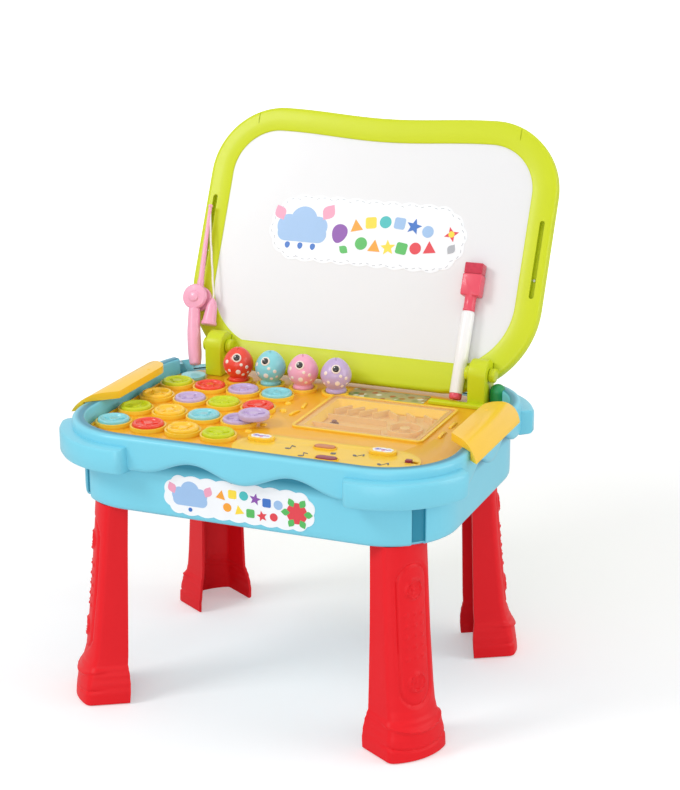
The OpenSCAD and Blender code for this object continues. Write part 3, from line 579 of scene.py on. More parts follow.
def painted_shade_plastic(name, colour, deep, painted_shade_of, **looks):
    """Moulded plastic that goes over to a darker tone of painted shade by a share."""
    material = plastic(name, colour, **looks)
    tree = material.node_tree
    body = tree.nodes["Principled BSDF"]
    plain = body.inputs["Base Color"].links[0].from_socket
    feed(tree, body, Base_Color=blend_of(tree, painted_shade_of(tree), plain, (*deep, 1)))
    return material


def metal(name, colour):
    material, tree, body = shader(name)
    texture = use(tree, MOULD_TEXTURE, Grain=0.5, Grain_Scale=2600)
    feed(tree, body, Metallic=1.0, Base_Color=tone(tree, colour, 0.12, 60),
         Roughness=gloss(tree, 0.28, Scuff=0.2), Normal=bump(tree, texture, 0.00003))
    return material


def clear(name):
    """Clear moulded window with a faint haze."""
    material, tree, body = shader(name)
    texture = use(tree, MOULD_TEXTURE, Grain=0.02, Waviness=1.0)
    feed(tree, body, Base_Color=(0.95, 0.97, 1, 1), Alpha=0.07,
         Roughness=gloss(tree, 0.06, Smudge=0.05), Normal=bump(tree, texture, 0.00002))
    return material


def felt(name, colour):
    material, tree, body = shader(name)
    fibre = noise(tree, 900.0, 6.0, Roughness=0.8)
    feed(tree, body, Base_Color=tone(tree, colour, 0.3, 220), Roughness=0.95,
         Sheen_Weight=0.4, Normal=bump(tree, fibre, 0.0005))
    return material


def cord_fibre(name, colour):
    """Braided nylon line: two crossing spirals of fine yarn."""
    material, tree, body = shader(name)
    heights = []
    for slant in (0.9, -0.9):
        turn = node(tree, "ShaderNodeMapping", Vector=object_spot(tree),
                    Rotation=(0, slant, 0))
        yarn = node(tree, "ShaderNodeTexWave", Vector=turn.outputs["Vector"],
                    Scale=420.0, Distortion=1.0)
        heights.append(yarn.outputs["Fac"])
    feed(tree, body, Base_Color=tone(tree, colour, 0.15, 180), Roughness=0.6,
         Normal=bump(tree, larger(tree, *heights), 0.0001))
    return material


def picture_print(name):
    """A strip of small soft pictures: rounded cells in garden colours."""
    material, tree, body = shader(name)
    density = 140.0
    cells = node(tree, "ShaderNodeTexVoronoi", Vector=object_spot(tree), Scale=density,
                 Randomness=0.8)
    split = node(tree, "ShaderNodeSeparateColor", Color=cells.outputs["Color"])
    ramp = node(tree, "ShaderNodeValToRGB", Fac=split.outputs["Red"])
    ramp.color_ramp.interpolation = "CONSTANT"
    ramp.color_ramp.elements[0].color = (0.30, 0.34, 0.14, 1)
    ramp.color_ramp.elements[1].position = 0.3
    ramp.color_ramp.elements[1].color = (0.42, 0.20, 0.07, 1)
    for position, colour in ((0.42, (0.12, 0.26, 0.10, 1)), (0.55, (0.62, 0.44, 0.16, 1)),
                             (0.68, (0.80, 0.78, 0.66, 1)), (0.82, (0.45, 0.12, 0.06, 1))):
        ramp.color_ramp.elements.new(position).color = colour
    edge = ramp_of(tree, times(tree, cells.outputs["Distance"], 1 / density), 0.0030, 0.0042)
    feed(tree, body, Roughness=gloss(tree, 0.32),
         Base_Color=blend_of(tree, edge, ramp.outputs["Color"], (0.46, 0.42, 0.22, 1)))
    return material


def printed(name, colour, rough=0.35):
    """Laminated print: even colour, a trace of dot screen and film gloss."""
    material, tree, body = shader(name)
    dots = node(tree, "ShaderNodeTexVoronoi", Vector=object_spot(tree), Scale=1800.0,
                Randomness=0.1)
    value = plus(tree, times(tree, dots.outputs["Distance"], -0.06), 1.02)
    shade = node(tree, "ShaderNodeHueSaturation", Color=tone(tree, colour, 0.04, 90),
                 Value=value)
    feed(tree, body, Base_Color=shade.outputs["Color"], Coat_Weight=0.3,
         Roughness=gloss(tree, rough, Smudge=0.05))
    return material


def circuit(name):
    material, tree, body = shader(name)
    tracks = node(tree, "ShaderNodeTexBrick", Vector=object_spot(tree), Scale=260.0,
                  Mortar_Size=0.06, Color1=(0.02, 0.22, 0.09, 1),
                  Color2=(0.03, 0.26, 0.11, 1), Mortar=(0.10, 0.42, 0.18, 1))
    feed(tree, body, Base_Color=tracks.outputs["Color"], Roughness=0.35,
         Normal=bump(tree, tracks.outputs["Fac"], 0.00004))
    return material


BLUE = (0.19, 0.63, 0.79)
SKY = plastic("sky moulding", BLUE, rough=0.34, coat=0.15)
# the tub's blue goes over to a dark teal of painted shade in its corner grooves and on the wall
# under the apron's waves
TUB_SKY_PAINTED_SHADE = painted_shade_plastic("tub moulding", BLUE, (0.012, 0.24, 0.36), painted_recess_shade, rough=0.34,
                   coat=0.15)
RED = plastic("red moulding", (0.80, 0.010, 0.017), rough=0.42, coat=0.0, shine=0.2)
SUN = plastic("yellow moulding", (0.96, 0.58, 0.025), rough=0.32, coat=0.2)
# the play panel's yellow goes over to a deeper orange of painted shade low in its recesses
PANEL_PAINTED_SHADE = painted_shade_plastic("play panel moulding", (0.93, 0.60, 0.04), (0.88, 0.44, 0.015),
                 painted_floor_shade, rough=0.32, coat=0.2)
LIME = plastic("lime moulding", (0.60, 0.68, 0.012), rough=0.38, coat=0.08, shine=0.3)
PINK = plastic("pink moulding", (0.90, 0.40, 0.55), rough=0.3, coat=0.3)
AQUA = plastic("aqua moulding", (0.25, 0.66, 0.72), rough=0.3, coat=0.3)
LILAC = plastic("lilac moulding", (0.56, 0.42, 0.68), rough=0.3, coat=0.3)
CORAL = plastic("coral moulding", (0.86, 0.055, 0.025), rough=0.3, coat=0.3)
TAN = plastic("tan moulding", (0.86, 0.53, 0.16), rough=0.42, coat=0.05)
# the rear cap's dark green is partly its own colour and partly painted shade and a painted
# reflection of the lime lid
GREEN = plastic("green moulding", (0.01, 0.30, 0.10), rough=0.4, coat=0.1)
WHITE = plastic("white moulding", (0.90, 0.90, 0.91), rough=0.3, coat=0.3, drift=0.02)
CAP_RED = plastic("cap red moulding", (0.78, 0.07, 0.12), rough=0.35)
ORANGE = plastic("orange moulding", (0.62, 0.20, 0.05), rough=0.3)
MAROON = plastic("maroon moulding", (0.28, 0.02, 0.05), rough=0.3)
BROWN = plastic("brown moulding", (0.22, 0.07, 0.02), rough=0.3)
BLACK = plastic("black moulding", (0.015, 0.013, 0.014), rough=0.18, coat=0.6, drift=0.02)
PALE_SPOT = plastic("pale paint", (0.93, 0.80, 0.70), rough=0.35, drift=0.03)
BOARD = plastic("writing board", (0.80, 0.805, 0.82), rough=0.36, coat=0.1, drift=0.015,
                grain=0.05, wave=1.0, depth=0.00003)
CLEAR = clear("clear window")
FELT = felt("pressed felt", (0.62, 0.04, 0.08))
LINE = cord_fibre("braided line", (0.90, 0.84, 0.74))
STEEL = metal("plated steel", (0.62, 0.63, 0.65))
CELL = printed("cell sleeve", (0.06, 0.06, 0.08), rough=0.25)
PAD = plastic("silicone pad", (0.05, 0.05, 0.055), rough=0.7, coat=0.0)
CIRCUIT = circuit("coated laminate")
PICTURE = picture_print("picture strip")
PAPER = printed("white print", (0.90, 0.92, 0.95))
INK_SKY = printed("sky print", (0.33, 0.52, 0.80))
INK_PINK = printed("pink print", (0.85, 0.35, 0.50))
INK_RED = printed("red print", (0.75, 0.04, 0.06))
INK_ORANGE = printed("orange print", (0.92, 0.36, 0.02))
INK_YELLOW = printed("yellow print", (0.95, 0.70, 0.04))
INK_GREEN = printed("green print", (0.08, 0.48, 0.10))
INK_TEAL = printed("teal print", (0.05, 0.50, 0.50))
INK_BLUE = printed("blue print", (0.03, 0.16, 0.55))
INK_VIOLET = printed("violet print", (0.25, 0.07, 0.40))
INK_GREY = printed("grey print", (0.42, 0.44, 0.48))


# ---- tub --------------------------------------------------------------------

WALL = 2.5
WAVE_SHIFT = 6
WAVE_HIGH, WAVE_LONG, WAVE_WIDE = 13, 97, 71
APRON_HIGH = 32
GROOVE = (39, 51)
GROOVE_TOP, GROOVE_DEEP = 231, 3
BUMP_OVER = 12
BUMP_LOW, BUMP_TOP = 238, 262
# where a bumper begins on the wall, how far it runs before its corner and round it, and
# the length over which its ends swell
BUMP_ROOT, BUMP_LEAD, BUMP_SWEEP, BUMP_SWELL = 6, 12, 78, 7
UNCUT_Z = 400


def tub_path():
    """Points round the tub's wall: place, outward normal and corner angle."""
    hx, hy = TUB_L / 2 - TUB_R, TUB_W / 2 - TUB_R
    bends = [(hx, -hy, -90), (hx, hy, 0), (-hx, hy, 90), (-hx, -hy, 180)]
    # finer at the edges of the groove and of the cut behind the lid
    angles = [0, 6, 12, 18, 24, 30, 36, 38.9, GROOVE[0] + 0.1, 42, 45, 48, 50.9,
              GROOVE[1] + 0.1, 54.7, 54.9, 60, 65.3, 65.5, 72, 78, 84]
    path = []
    for number, (cx, cy, start) in enumerate(bends):
        for angle in angles:
            nx, ny = ray(start + angle)
            path.append((cx + TUB_R * nx, cy + TUB_R * ny, nx, ny, angle))
        nx, ny = ray(start + 90)
        after = bends[(number + 1) % 4]
        p = (cx + TUB_R * nx, cy + TUB_R * ny)
        q = (after[0] + TUB_R * nx, after[1] + TUB_R * ny)
        steps = 30 if number % 2 == 0 else 64
        for k in range(steps):
            t = k / steps
            path.append((p[0] + (q[0] - p[0]) * t, p[1] + (q[1] - p[1]) * t, nx, ny, 90))
    return path


def apron_rise(x, y):
    """Height of the wave over the apron's lowest line."""
    if abs(y) > TUB_W / 2 - 1 and abs(x - WAVE_SHIFT) < WAVE_LONG:
        return WAVE_HIGH * (1 - math.cos(2 * math.pi * (x - WAVE_SHIFT) / WAVE_LONG)) / 2
    if abs(x) > TUB_L / 2 - 1 and abs(y) < WAVE_WIDE:
        return WAVE_HIGH * (1 - math.cos(2 * math.pi * y / WAVE_WIDE)) / 2
    return 0


def top_limit(x, y):
    """The height at which the tub ends, which is lower behind the lid."""
    inside = y > BACK_CUT_Y and BACK_CUT_LEFT < x < BACK_CUT_RIGHT
    return BACK_CUT_Z if inside else UNCUT_Z


def make_tub():
    path = tub_path()
    low = RIM_Z - APRON_HIGH
    # outward distance, height, and how much of the wave moves it
    profile = [(-5, 198.5, 0), (-WALL, 201, 0), (-WALL, PANEL_Z - 4, 0),
               (-WALL, RIM_Z - 2.6, 0), (-1.9, RIM_Z - 1, 0), (-0.6, RIM_Z - 0.1, 0),
               (1, RIM_Z, 0), (6, RIM_Z, 0), (8.2, RIM_Z - 0.6, 0),
               (9.5, RIM_Z - 2, 0), (RIM_OVER, RIM_Z - 4.2, 0),
               (RIM_OVER, low + 9, 1), (RIM_OVER, low + 5, 1), (9.2, low + 2.2, 1),
               (7.4, low + 0.5, 1), (5, low, 1), (2.6, low + 0.7, 1), (0.6, low + 2.6, 1),
               (0, low + 1, 1), (0, 235, 0), (0, GROOVE_TOP + 0.2, 0),
               (0, GROOVE_TOP - 0.2, 0), (0, 222, 0), (0, 205, 0), (-0.2, 199.5, 0),
               (-1.2, 197.3, 0), (-3, 196.2, 0), (-5.5, LEG_H, 0)]
    rings = []
    for out, z, wavy in profile:
        outer = z < GROOVE_TOP and out > -4 and out != -WALL
        ring = []
        for x, y, nx, ny, angle in path:
            level = z + wavy * apron_rise(x, y)
            d = out - GROOVE_DEEP if outer and GROOVE[0] < angle < GROOVE[1] else out
            ring.append((x + nx * d, y + ny * d, min(level, top_limit(x, y))))
        rings.append(ring)
    return settle(loft("tub_shell", rings), TUB)


def make_bumper(side, depth):
    """The bumper round one corner, which narrows towards both ends."""
    hx, hy = TUB_L / 2 - TUB_R, TUB_W / 2 - TUB_R
    path = [(hx - BUMP_LEAD + BUMP_LEAD * t, -hy - TUB_R, 0, -1)
            for t in (0, 0.12, 0.3, 0.55, 0.8)]
    for angle in range(0, BUMP_SWEEP + 1, 3):
        nx, ny = ray(angle - 90)
        path.append((hx + TUB_R * nx, -hy + TUB_R * ny, nx, ny))
    length = BUMP_LEAD + TUB_R * math.radians(BUMP_SWEEP)
    reach = RIM_OVER + BUMP_OVER
    section = [(BUMP_ROOT, BUMP_LOW), (reach - 4, BUMP_LOW), (reach - 1.4, BUMP_LOW + 0.7),
               (reach, BUMP_LOW + 3.2), (reach, BUMP_TOP - 3.4), (reach - 1.3, BUMP_TOP - 1),
               (reach - 4, BUMP_TOP - 0.1), (BUMP_ROOT, BUMP_TOP)]
    rings, run = [], 0
    for number, (x, y, nx, ny) in enumerate(path):
        if number:
            last = path[number - 1]
            run += math.hypot(x - last[0], y - last[1])
        near = min(run, length - run) / BUMP_SWELL
        swell = math.sqrt(max(0, 1 - (1 - near) ** 2)) if near < 1 else 1
        ring = []
        for out, z in section:
            d = BUMP_ROOT + (out - BUMP_ROOT) * (0.28 + 0.72 * swell)
            px, py = side * (x + nx * d), -depth * (y + ny * d)
            ring.append((px, py, min(z, top_limit(px, py))))
        rings.append(ring)
    return settle(loft(f"tub_bumper_{'left' if side < 0 else 'right'}_"
                       f"{'front' if depth < 0 else 'back'}", rings), TUB)


BATTERY_AT = (60, -70)
SCREWS = [(-158, -52), (0, -112), (158, -52), (-150, 60), (-20, 40), (150, 60)]
SPEAKER_AT = (-70, -60)
LATCH_AXIS = (197.2, -9.5, 262.5)


def battery_block(name, half_x, half_y, low, high, edge=0):
    """A block round the middle of the battery box."""
    return settle(block(name, (-half_x, -half_y, low), (half_x, half_y, high), edge),
                  TUB @ moved(*BATTERY_AT, 0))


tub = make_tub()
for half_x, half_y, top in ((30, 27, 198.5), (28, 25, 216)):
    carve(tub, battery_block("cut", half_x, half_y, 190, top))
for x, y in SCREWS:
    drilled(tub, 3.4, 190, 197, 24, TUB @ moved(x, y, 0))
for x, y in [(9 * x, 9 * y) for x, y in map(ray, range(0, 360, 60))] + [(0, 0)]:
    drilled(tub, 2, 190, 205, 20, TUB @ moved(SPEAKER_AT[0] + x, SPEAKER_AT[1] + y, 0))
finish(tub, "root", TUB_SKY_PAINTED_SHADE, "blue_plastic", "tub")
for side in (-1, 1):
    for depth in (-1, 1):
        finish(make_bumper(side, depth), "root", SKY, "blue_plastic")
    axis = TUB @ moved(side * LATCH_AXIS[0], *LATCH_AXIS[1:])
    post = loft("tub_latch_boss", [[(px, y, pz) for px, pz in circle(r, 30)]
                                   for y, r in ((-15, 1.6), (-14.6, 2), (14.6, 2), (15, 1.6))])
    finish(settle(post, axis), "root", SKY, "blue_plastic")
    arm = block("tub_latch_arm", (-4.4, -14.9, -1.5), (0, 14.9, 1.5), 0.3)
    settle(arm, axis @ Matrix.Scale(side, 4, (1, 0, 0)))
    # mirroring turns the faces in, so they are turned out again
    edit(arm)
    bpy.ops.mesh.select_all(action="SELECT")
    bpy.ops.mesh.normals_make_consistent(inside=False)
    finish(arm, "root", SKY, "blue_plastic")
battery_box = carve(battery_block("tub_battery_box", 30.5, 27.5, 198, 218.5, 1),
                    battery_block("cut", 28, 25, 190, 216))
finish(battery_box, "root", SKY, "blue_plastic")


# ---- legs -------------------------------------------------------------------

LEG_WALL = 3
# height, width, depth and outward shift
LEG_LEVELS = [(0, 66, 50, 8), (10, 66, 50, 8), (18, 64, 49, 7.4), (27, 61, 47, 6.6),
              (33, 58, 44, 5), (38, 55, 41, 3), (46, 54, 39.5, 1.6), (60, 53, 38, 0.9),
              (110, 51, 34, 0), (150, 50.5, 31.5, 0), (LEG_H, 50, 29, 0)]
# the stadium panel of a leg: its middle, its half height and its radius
OVAL_Z, OVAL_HALF, OVAL_R = 112.5, 65.5, 17
MEDALLIONS = (155, 69)
STUD_STEP = (8.5, 10)


def leg_level(z):
    """Width, depth and outward shift of a leg at a height."""
    for low, high in zip(LEG_LEVELS, LEG_LEVELS[1:]):
        if low[0] <= z <= high[0]:
            t = (z - low[0]) / (high[0] - low[0])
            t = t * t * (3 - 2 * t) if high[0] < 50 else t
            return [a + (b - a) * t for a, b in zip(low[1:], high[1:])]
    return LEG_LEVELS[-1][1:]


def leg_section(width, deep):
    """The leg's open section, from one inner edge round to the other."""
    r = 8
    bow = 5 + width * width / 80
    h = width / 2 - r
    a = math.degrees(math.asin(h / (bow - r)))
    back = r + (bow - r) * (1 - ray(a)[0])
    side = [(-deep + (deep - back) * k / 6, -width / 2) for k in range(6)]
    return (side + arc(-back, -h, r, -90, -a, 8)[:-1] + arc(-bow, 0, bow, -a, a, 30)[:-1]
            + arc(-back, h, r, a, 90, 8) + [(x, -y) for x, y in reversed(side)])


def bead(distance, width):
    """A round rib or groove over a line, as a share of its height."""
    t = abs(distance) / width
    return 0 if t >= 1 else math.cos(t * math.pi / 2) ** 2


def leg_relief(y, z):
    """How far the outer face of a leg stands out at a point of its face."""
    # stadium panel with a sunk border
    dz = max(0, abs(z - OVAL_Z) - (OVAL_HALF - OVAL_R))
    edge = math.hypot(y, dz) - OVAL_R
    out = -1.7 * bead(edge, 2.4)
    if edge < 0:
        out -= 0.5
        for centre in MEDALLIONS:
            r = math.hypot(y, z - centre)
            out += 1.9 * bead(r - 8, 2) + 1.1 * min(1, max(0, (6.2 - r) / 1.2))
            out -= 1.2 * bead(math.hypot(y + 0.6, z - centre - 0.8) - 3, 1.4)
        # studs between them
        for row in range(-2, 3):
            for column in (-1, 0, 1):
                r = math.hypot(y - column * STUD_STEP[0], z - 112 - row * STUD_STEP[1])
                out += 1.5 * bead(r, 2.9 if (row + column) % 2 else 2.2)
    # boot seams: a swag over the instep and one over the toe
    out += 1.8 * bead(z - (35 - 9 * (1 - (y / 34) ** 2)), 2.8)
    out -= 1.4 * bead(z - (15 - 5 * (1 - (y / 36) ** 2)), 1.8)
    return out


def make_leg(name, way):
    """The open shell of a leg; way is the side to which it leans along its face."""
    count = len(leg_section(*LEG_LEVELS[-1][1:3])) - 1
    heights = ([0, 0.4, 1.2] + [2 + 1.25 * k for k in range(36)]
               + [48 + 1.5 * k for k in range(90)] + [184 + 2 * k for k in range(6)]
               + [195, LEG_H])
    inner = []

    def spot(u, v):
        z = heights[round((v + 1) / 2 * (len(heights) - 1))]
        width, deep, shift = leg_level(z)
        section = leg_section(width, deep)
        k = round((u + 1) / 2 * count)
        x, y = section[k]
        before, after = section[max(k - 1, 0)], section[min(k + 1, count)]
        tx, ty = after[0] - before[0], after[1] - before[1]
        length = math.hypot(tx, ty)
        # the foot's edge is drawn in, and the relief fades out towards the inner edges
        tuck = 1.2 * max(0, 1 - z / 1.2) ** 2
        out = leg_relief(y, z) * (1 if x > -14 else max(0, (x + 22) / 8)) - tuck
        fall = LEG_SPLAY * (1 - z / LEG_H)
        lean = fall * math.cos(math.pi / 4 - LEG_AIM) + shift
        drift = way * fall * math.sin(math.pi / 4 - LEG_AIM)
        inner.append((lean + x - LEG_WALL * ty / length,
                      drift + y + LEG_WALL * tx / length, z))
        return (lean + x + out * ty / length, drift + y - out * tx / length, z)

    leg = thicken(sheet(name, count, len(heights) - 1, spot), LEG_WALL)
    # the relief is on the outer face alone
    for vert, point in zip(leg.data.vertices[len(inner):], inner):
        vert.co = put(point)
    return leg


for side, depth, where in ((-1, -1, "front_left"), (1, -1, "front_right"),
                           (-1, 1, "back_left"), (1, 1, "back_right")):
    place = leg_place(side, depth)
    leg = make_leg(f"leg_{where}_shell", side * depth)
    finish(settle(leg, place), "root", RED, "red_plastic", f"leg_{where}", angle=50)
    collar = block(f"leg_{where}_collar", (-28, -23, LEG_H - 4), (-9, 23, LEG_H - 0.1), 0.6)
    finish(settle(collar, place), "root", RED, "red_plastic")


# ---- play panel and what is fixed in it -------------------------------------

# first seat, and the steps between seats
SEAT = (-159, -74, 36.5, 44)
for material, names in (
        (CLEAR, ("maze_cover",)), (PICTURE, ("picture_card",)), (CELL, ("batteries",)),
        (BLACK, ("speaker",)), (CIRCUIT, ("circuit_board",)), (PAD, ("button_pads",)),
        (BOARD, ("drawing_board",)),
        (STEEL, ("hinge_pins", "latch_pins", "panel_screws", "battery_door_screw",
                 "lid_screws", "battery_contacts"))):
    for name in names:
        plain = frame["nodes"][name]
        plain.data.materials.clear()
        plain.data.materials.append(material)
FIXED = ("play_panel", "maze_tray", "rod_rest", "rear_cap")
for name, material, colour, edge, steps in (
        ("play_panel", PANEL_PAINTED_SHADE, "yellow", 0.7, 3), ("maze_tray", TAN, "tan", 0.35, 2),
        ("rod_rest", AQUA, "teal", 0.6, 3), ("rear_cap", GREEN, "green", 0.4, 3),
        ("maze_bead", BROWN, "brown", 0.6, 3), ("battery_door", SKY, "blue", 0.4, 3),
        ("power_switch", MAROON, "maroon", 0.6, 3),
        ("button_oval_back", ORANGE, "orange", 0.7, 3),
        ("button_oval_front", MAROON, "maroon", 0.7, 3),
        ("button_song", SUN, "yellow", 0.9, 3), ("button_note", SUN, "yellow", 0.9, 3)):
    body = "root" if name in FIXED else name
    finish(of_cad(name, f"{name}_moulding", edge, steps), body, material,
           f"{colour}_plastic", name)


def ear_outline():
    """The hinge ear seen from its side: a round top on a straight post."""
    return ([(HINGE_Y + EAR_R, PANEL_Z)] + arc(HINGE_Y, HINGE_Z, EAR_R, 0, 180, 28)
            + [(HINGE_Y - EAR_R, PANEL_Z)])


for side, word in SIDES:
    low, high = side * EAR_X - EAR_W / 2, side * EAR_X + EAR_W / 2
    rings = [[(x, y, z) for y, z in ear_outline()] for x in (low, high)]
    ear = soften(loft(f"hinge_ear_{word}_moulding", rings), 1.6, 4, 50)
    # the right ear alone stands on a ledge
    if side > 0:
        foot = block("hinge_ledge", (EAR_X - 46, HINGE_Y - EAR_R - 8, PANEL_Z),
                     (EAR_X + 9, HINGE_Y - EAR_R + 0.5, PANEL_Z + 4), 0.8)
        finish(settle(foot, TUB), "root", LIME, "lime_plastic")
    finish(settle(ear, TUB), "root", LIME, "lime_plastic", f"hinge_ear_{word}")


MAZE_AT = (65, 33)


def maze_slope():
    """The sloped yellow border that leads down to the maze floor."""
    rings = [[(x, y, z) for x, y in rounded(length, width, 3, 4)]
             for length, width, z in ((119, 95, 255.9), (112.8, 88.8, 255.9),
                                      (104, 79, 250.2), (102.5, 77.5, 249.4),
                                      (102.5, 77.5, 248.2), (112.8, 88.8, 248.2),
                                      (112.8, 88.8, 254.8), (119, 95, 254.8))]
    return settle(loft("maze_slope", rings, loop=True), TUB @ moved(*MAZE_AT, 0))


def bridge(name, x, y, length, turn):
    """A low arched rib on the panel, as over a track."""
    arch = [(-length / 2 * math.cos(a), 2.2 * math.sin(a) ** 0.6)
            for a in (math.pi * k / 12 for k in range(13))]
    rings = [[(px, side, pz) for px, pz in arch] for side in (-1.6, 1.6)]
    piece = soften(loft(name, rings), 0.5, 2, 50)
    return settle(piece, TUB @ moved(x, y, PANEL_Z) @ turned_by(turn, "Z"))


def bump_on_panel(x, y, r, high):
    """A low round bump moulded into the panel."""
    profile = [(r, 0), (r * 0.92, high * 0.45), (r * 0.7, high * 0.8), (r * 0.4, high),
               (0.2, high)]
    return settle(turned("bump", profile, 20), TUB @ moved(x, y, PANEL_Z))


bumps = [bump_on_panel(SEAT[0] + (i + 0.5) * SEAT[2], SEAT[1] + (j + 0.5) * SEAT[3],
                       5.2, 2.4) for i in range(3) for j in range(3)]
bumps += [bump_on_panel(-32 + 5 * (k % 2), -46 + 23 * k, 3.6, 2) for k in range(5)]
finish(joined("panel_bumps", bumps), "root", SUN, "yellow_plastic")


BORDER_BACK = 84


def border_rib():
    """A low rounded rib that follows the panel's edge along its front and sides."""
    path = [point[:4] for point in tub_path() if point[1] < BORDER_BACK]
    # it begins at the back of the left side, where the path is broken
    start = max((k for k in range(len(path)) if path[k][0] < 0), key=lambda k: path[k][1])
    path = path[start:] + path[:start]
    section = [(-7.5, 0), (-7, 1.1), (-6, 1.7), (-5, 1.1), (-4.5, 0)]
    return settle(loft("panel_border", [[(x + nx * out, y + ny * out, PANEL_Z - 0.05 + z)
                                         for out, z in section] for x, y, nx, ny in path]), TUB)


finish(border_rib(), "root", SUN, "yellow_plastic")
finish(maze_slope(), "root", SUN, "yellow_plastic")
for number, (x, y, length, turn) in enumerate(((-14, 20, 16, 80), (-14, 44, 16, 100),
                                               (140, 40, 18, 90), (140, 10, 18, 90))):
    finish(bridge(f"panel_rib_{number + 1}", x, y, length, turn), "root", SUN,
           "yellow_plastic")


# ---- printed marks ----------------------------------------------------------

def print_set(prefix, marks, place, body, thickness=0.14):
    """Flat printed shapes, gathered into one piece per ink."""
    by_ink = {}
    for number, (outline, ink) in enumerate(marks):
        # each mark is a trace higher than the one before, where they overlap
        top = thickness + 0.006 * number
        by_ink.setdefault(ink.name, (ink, []))[1].append((outline, top))
    for word, (ink, outlines) in by_ink.items():
        shapes = [plate("mark", outline, 0, top, 0) for outline, top in outlines]
        piece = joined(f"{prefix}_{word.split()[0]}", shapes)
        finish(settle(piece, place), body, ink, "printed_paper")


def cloud(x, y, size):
    return [shifted(circle(9), x - 12 * size, y - 1, size=size),
            shifted(circle(11), x, y + 4 * size, size=size),
            shifted(circle(8), x + 12 * size, y, size=size),
            shifted(stadium(40, 13), x, y - 6 * size, size=size)]


def leaf(size):
    return [(size * math.sin(a) ** 3 * 0.7, -size * math.cos(a))
            for a in (math.pi * 2 * k / 24 for k in range(24))]


def balloon(size):
    return [(size * 0.82 * math.sin(a) * (1 - 0.18 * math.cos(a)), -size * math.cos(a))
            for a in (math.pi * 2 * k / 28 for k in range(28))]


TRIANGLE = [(-6, -5), (6, -5), (0, 6)]
SQUARE = rounded(10.5, 10.5, 2)


def in_a_row(shapes, start, step, rise, turn, size):
    """Shapes side by side; rise gives each its height, turn its angle."""
    places = [(k, start + step * k) for k in range(len(shapes))]
    return [(shifted(outline, x, rise(k, x), turn(k), size), ink)
            for (outline, ink), (k, x) in zip(shapes, places)]


def lid_marks():
    marks = [(outline, INK_SKY) for outline in cloud(-70, 2, 1.35)]
    marks += [(shifted(leaf(9), -97, 14, 30), INK_PINK),
              (shifted(leaf(9), -44, 18, -30, 1.1), INK_PINK)]
    marks += [(shifted(balloon(3.4), x, -19), INK_BLUE) for x in (-84, -70, -56)]
    marks += [(shifted(balloon(10), -29, -3, -12), INK_VIOLET),
              (shifted(leaf(6), -22, -19, 60), INK_GREEN)]
    marks += in_a_row([(TRIANGLE, INK_ORANGE), (SQUARE, INK_YELLOW), (circle(5.6), INK_TEAL),
                       (SQUARE, INK_SKY), (star(7.6), INK_BLUE), (circle(5.4), INK_SKY)],
                      -12, 15.4, lambda k, x: 13 - 0.0042 * (x - 26) ** 2,
                      lambda k: 14 - 6 * k, 1.12)
    marks += in_a_row([(circle(5.8), INK_GREEN), (TRIANGLE, INK_ORANGE),
                       (star(7.4), INK_YELLOW), (SQUARE, INK_GREEN), (circle(5.4), INK_RED),
                       (TRIANGLE, INK_RED)],
                      -4, 14.6, lambda k, x: -13 + 0.002 * (x - 26) ** 2,
                      lambda k: 8 * (k % 3 - 1), 1.12)
    return marks + [(shifted(star(8, 4, 0.4), 90, 6, 20), INK_RED),
                    (shifted(circle(3.2), 90, 6), INK_YELLOW),
                    (shifted(leaf(6), 92, -9, 150), INK_GREY)]


def front_marks():
    marks = [(outline, INK_SKY) for outline in cloud(-48, 1, 0.86)]
    marks += [(shifted(leaf(6), x, 6, turn), INK_PINK) for x, turn in ((-66, 25), (-30, -25))]
    marks.append((shifted(circle(2), -48, -13), INK_BLUE))
    marks += in_a_row([(TRIANGLE, INK_ORANGE), (SQUARE, INK_YELLOW), (circle(5.6), INK_TEAL),
                       (star(7.4), INK_VIOLET), (SQUARE, INK_BLUE), (circle(5.6), INK_SKY)],
                      -17, 11.2, lambda k, x: 5.5 + 2.2 * math.sin(k),
                      lambda k: 10 * (k % 3 - 1), 0.78)
    marks += in_a_row([(circle(5.4), INK_ORANGE), (TRIANGLE, INK_YELLOW),
                       (SQUARE, INK_GREEN), (star(7), INK_RED), (circle(5), INK_RED)],
                      -11, 11.4, lambda k, x: -7.5 + 1.8 * math.cos(k),
                      lambda k: 12 * (k % 2), 0.76)
    marks.append((shifted(circle(10), 57, -2), INK_RED))
    for a in range(0, 360, 60):
        x, y = ray(a)
        marks.append((shifted(leaf(4.6), 57 + 11 * x, -2 + 11 * y, a - 90), INK_GREEN))
    return marks


LID_STICKER_AT = (-4, 152)
LID_PRINT = LID @ moved(*LID_STICKER_AT, -1.17)
lid_sticker = plate("lid_sticker", scalloped(214, 70, 26, 2.4), 0, 0.34, 0)
settle(lid_sticker, LID @ moved(*LID_STICKER_AT, -1.5))
finish(lid_sticker, "lid", PAPER, "printed_paper", "lid_label")
print_set("lid_print", lid_marks(), LID_PRINT, "lid")
dash = plate("dash", rounded(3.4, 0.5, 0.2, 2), 0, 0.1, 0)
dashes, border = [], scalloped(209, 65, 26, 2.4)
for k in range(0, len(border), 3):
    (x, y), (x2, y2) = border[k], border[(k + 1) % len(border)]
    one = copy_of(dash, "dash_copy")
    settle(one, moved(x, y, 0) @ turned_by(math.degrees(math.atan2(y2 - y, x2 - x)), "Z"))
    dashes.append(one)
removed(dash)
finish(settle(joined("lid_cut_line", dashes), LID_PRINT), "lid", INK_GREY, "printed_paper")

FRONT = moved(0, TUB_Y - TUB_W / 2, LEG_H + 24) @ turned_by(90, "X")
front_sticker = plate("front_sticker", scalloped(150, 38, 22, 1.8), 0, 0.4, 0)
finish(settle(front_sticker, FRONT), "root", PAPER, "printed_paper", "front_label")
print_set("front_print", front_marks(), FRONT @ moved(0, 0, 0.39), "root")

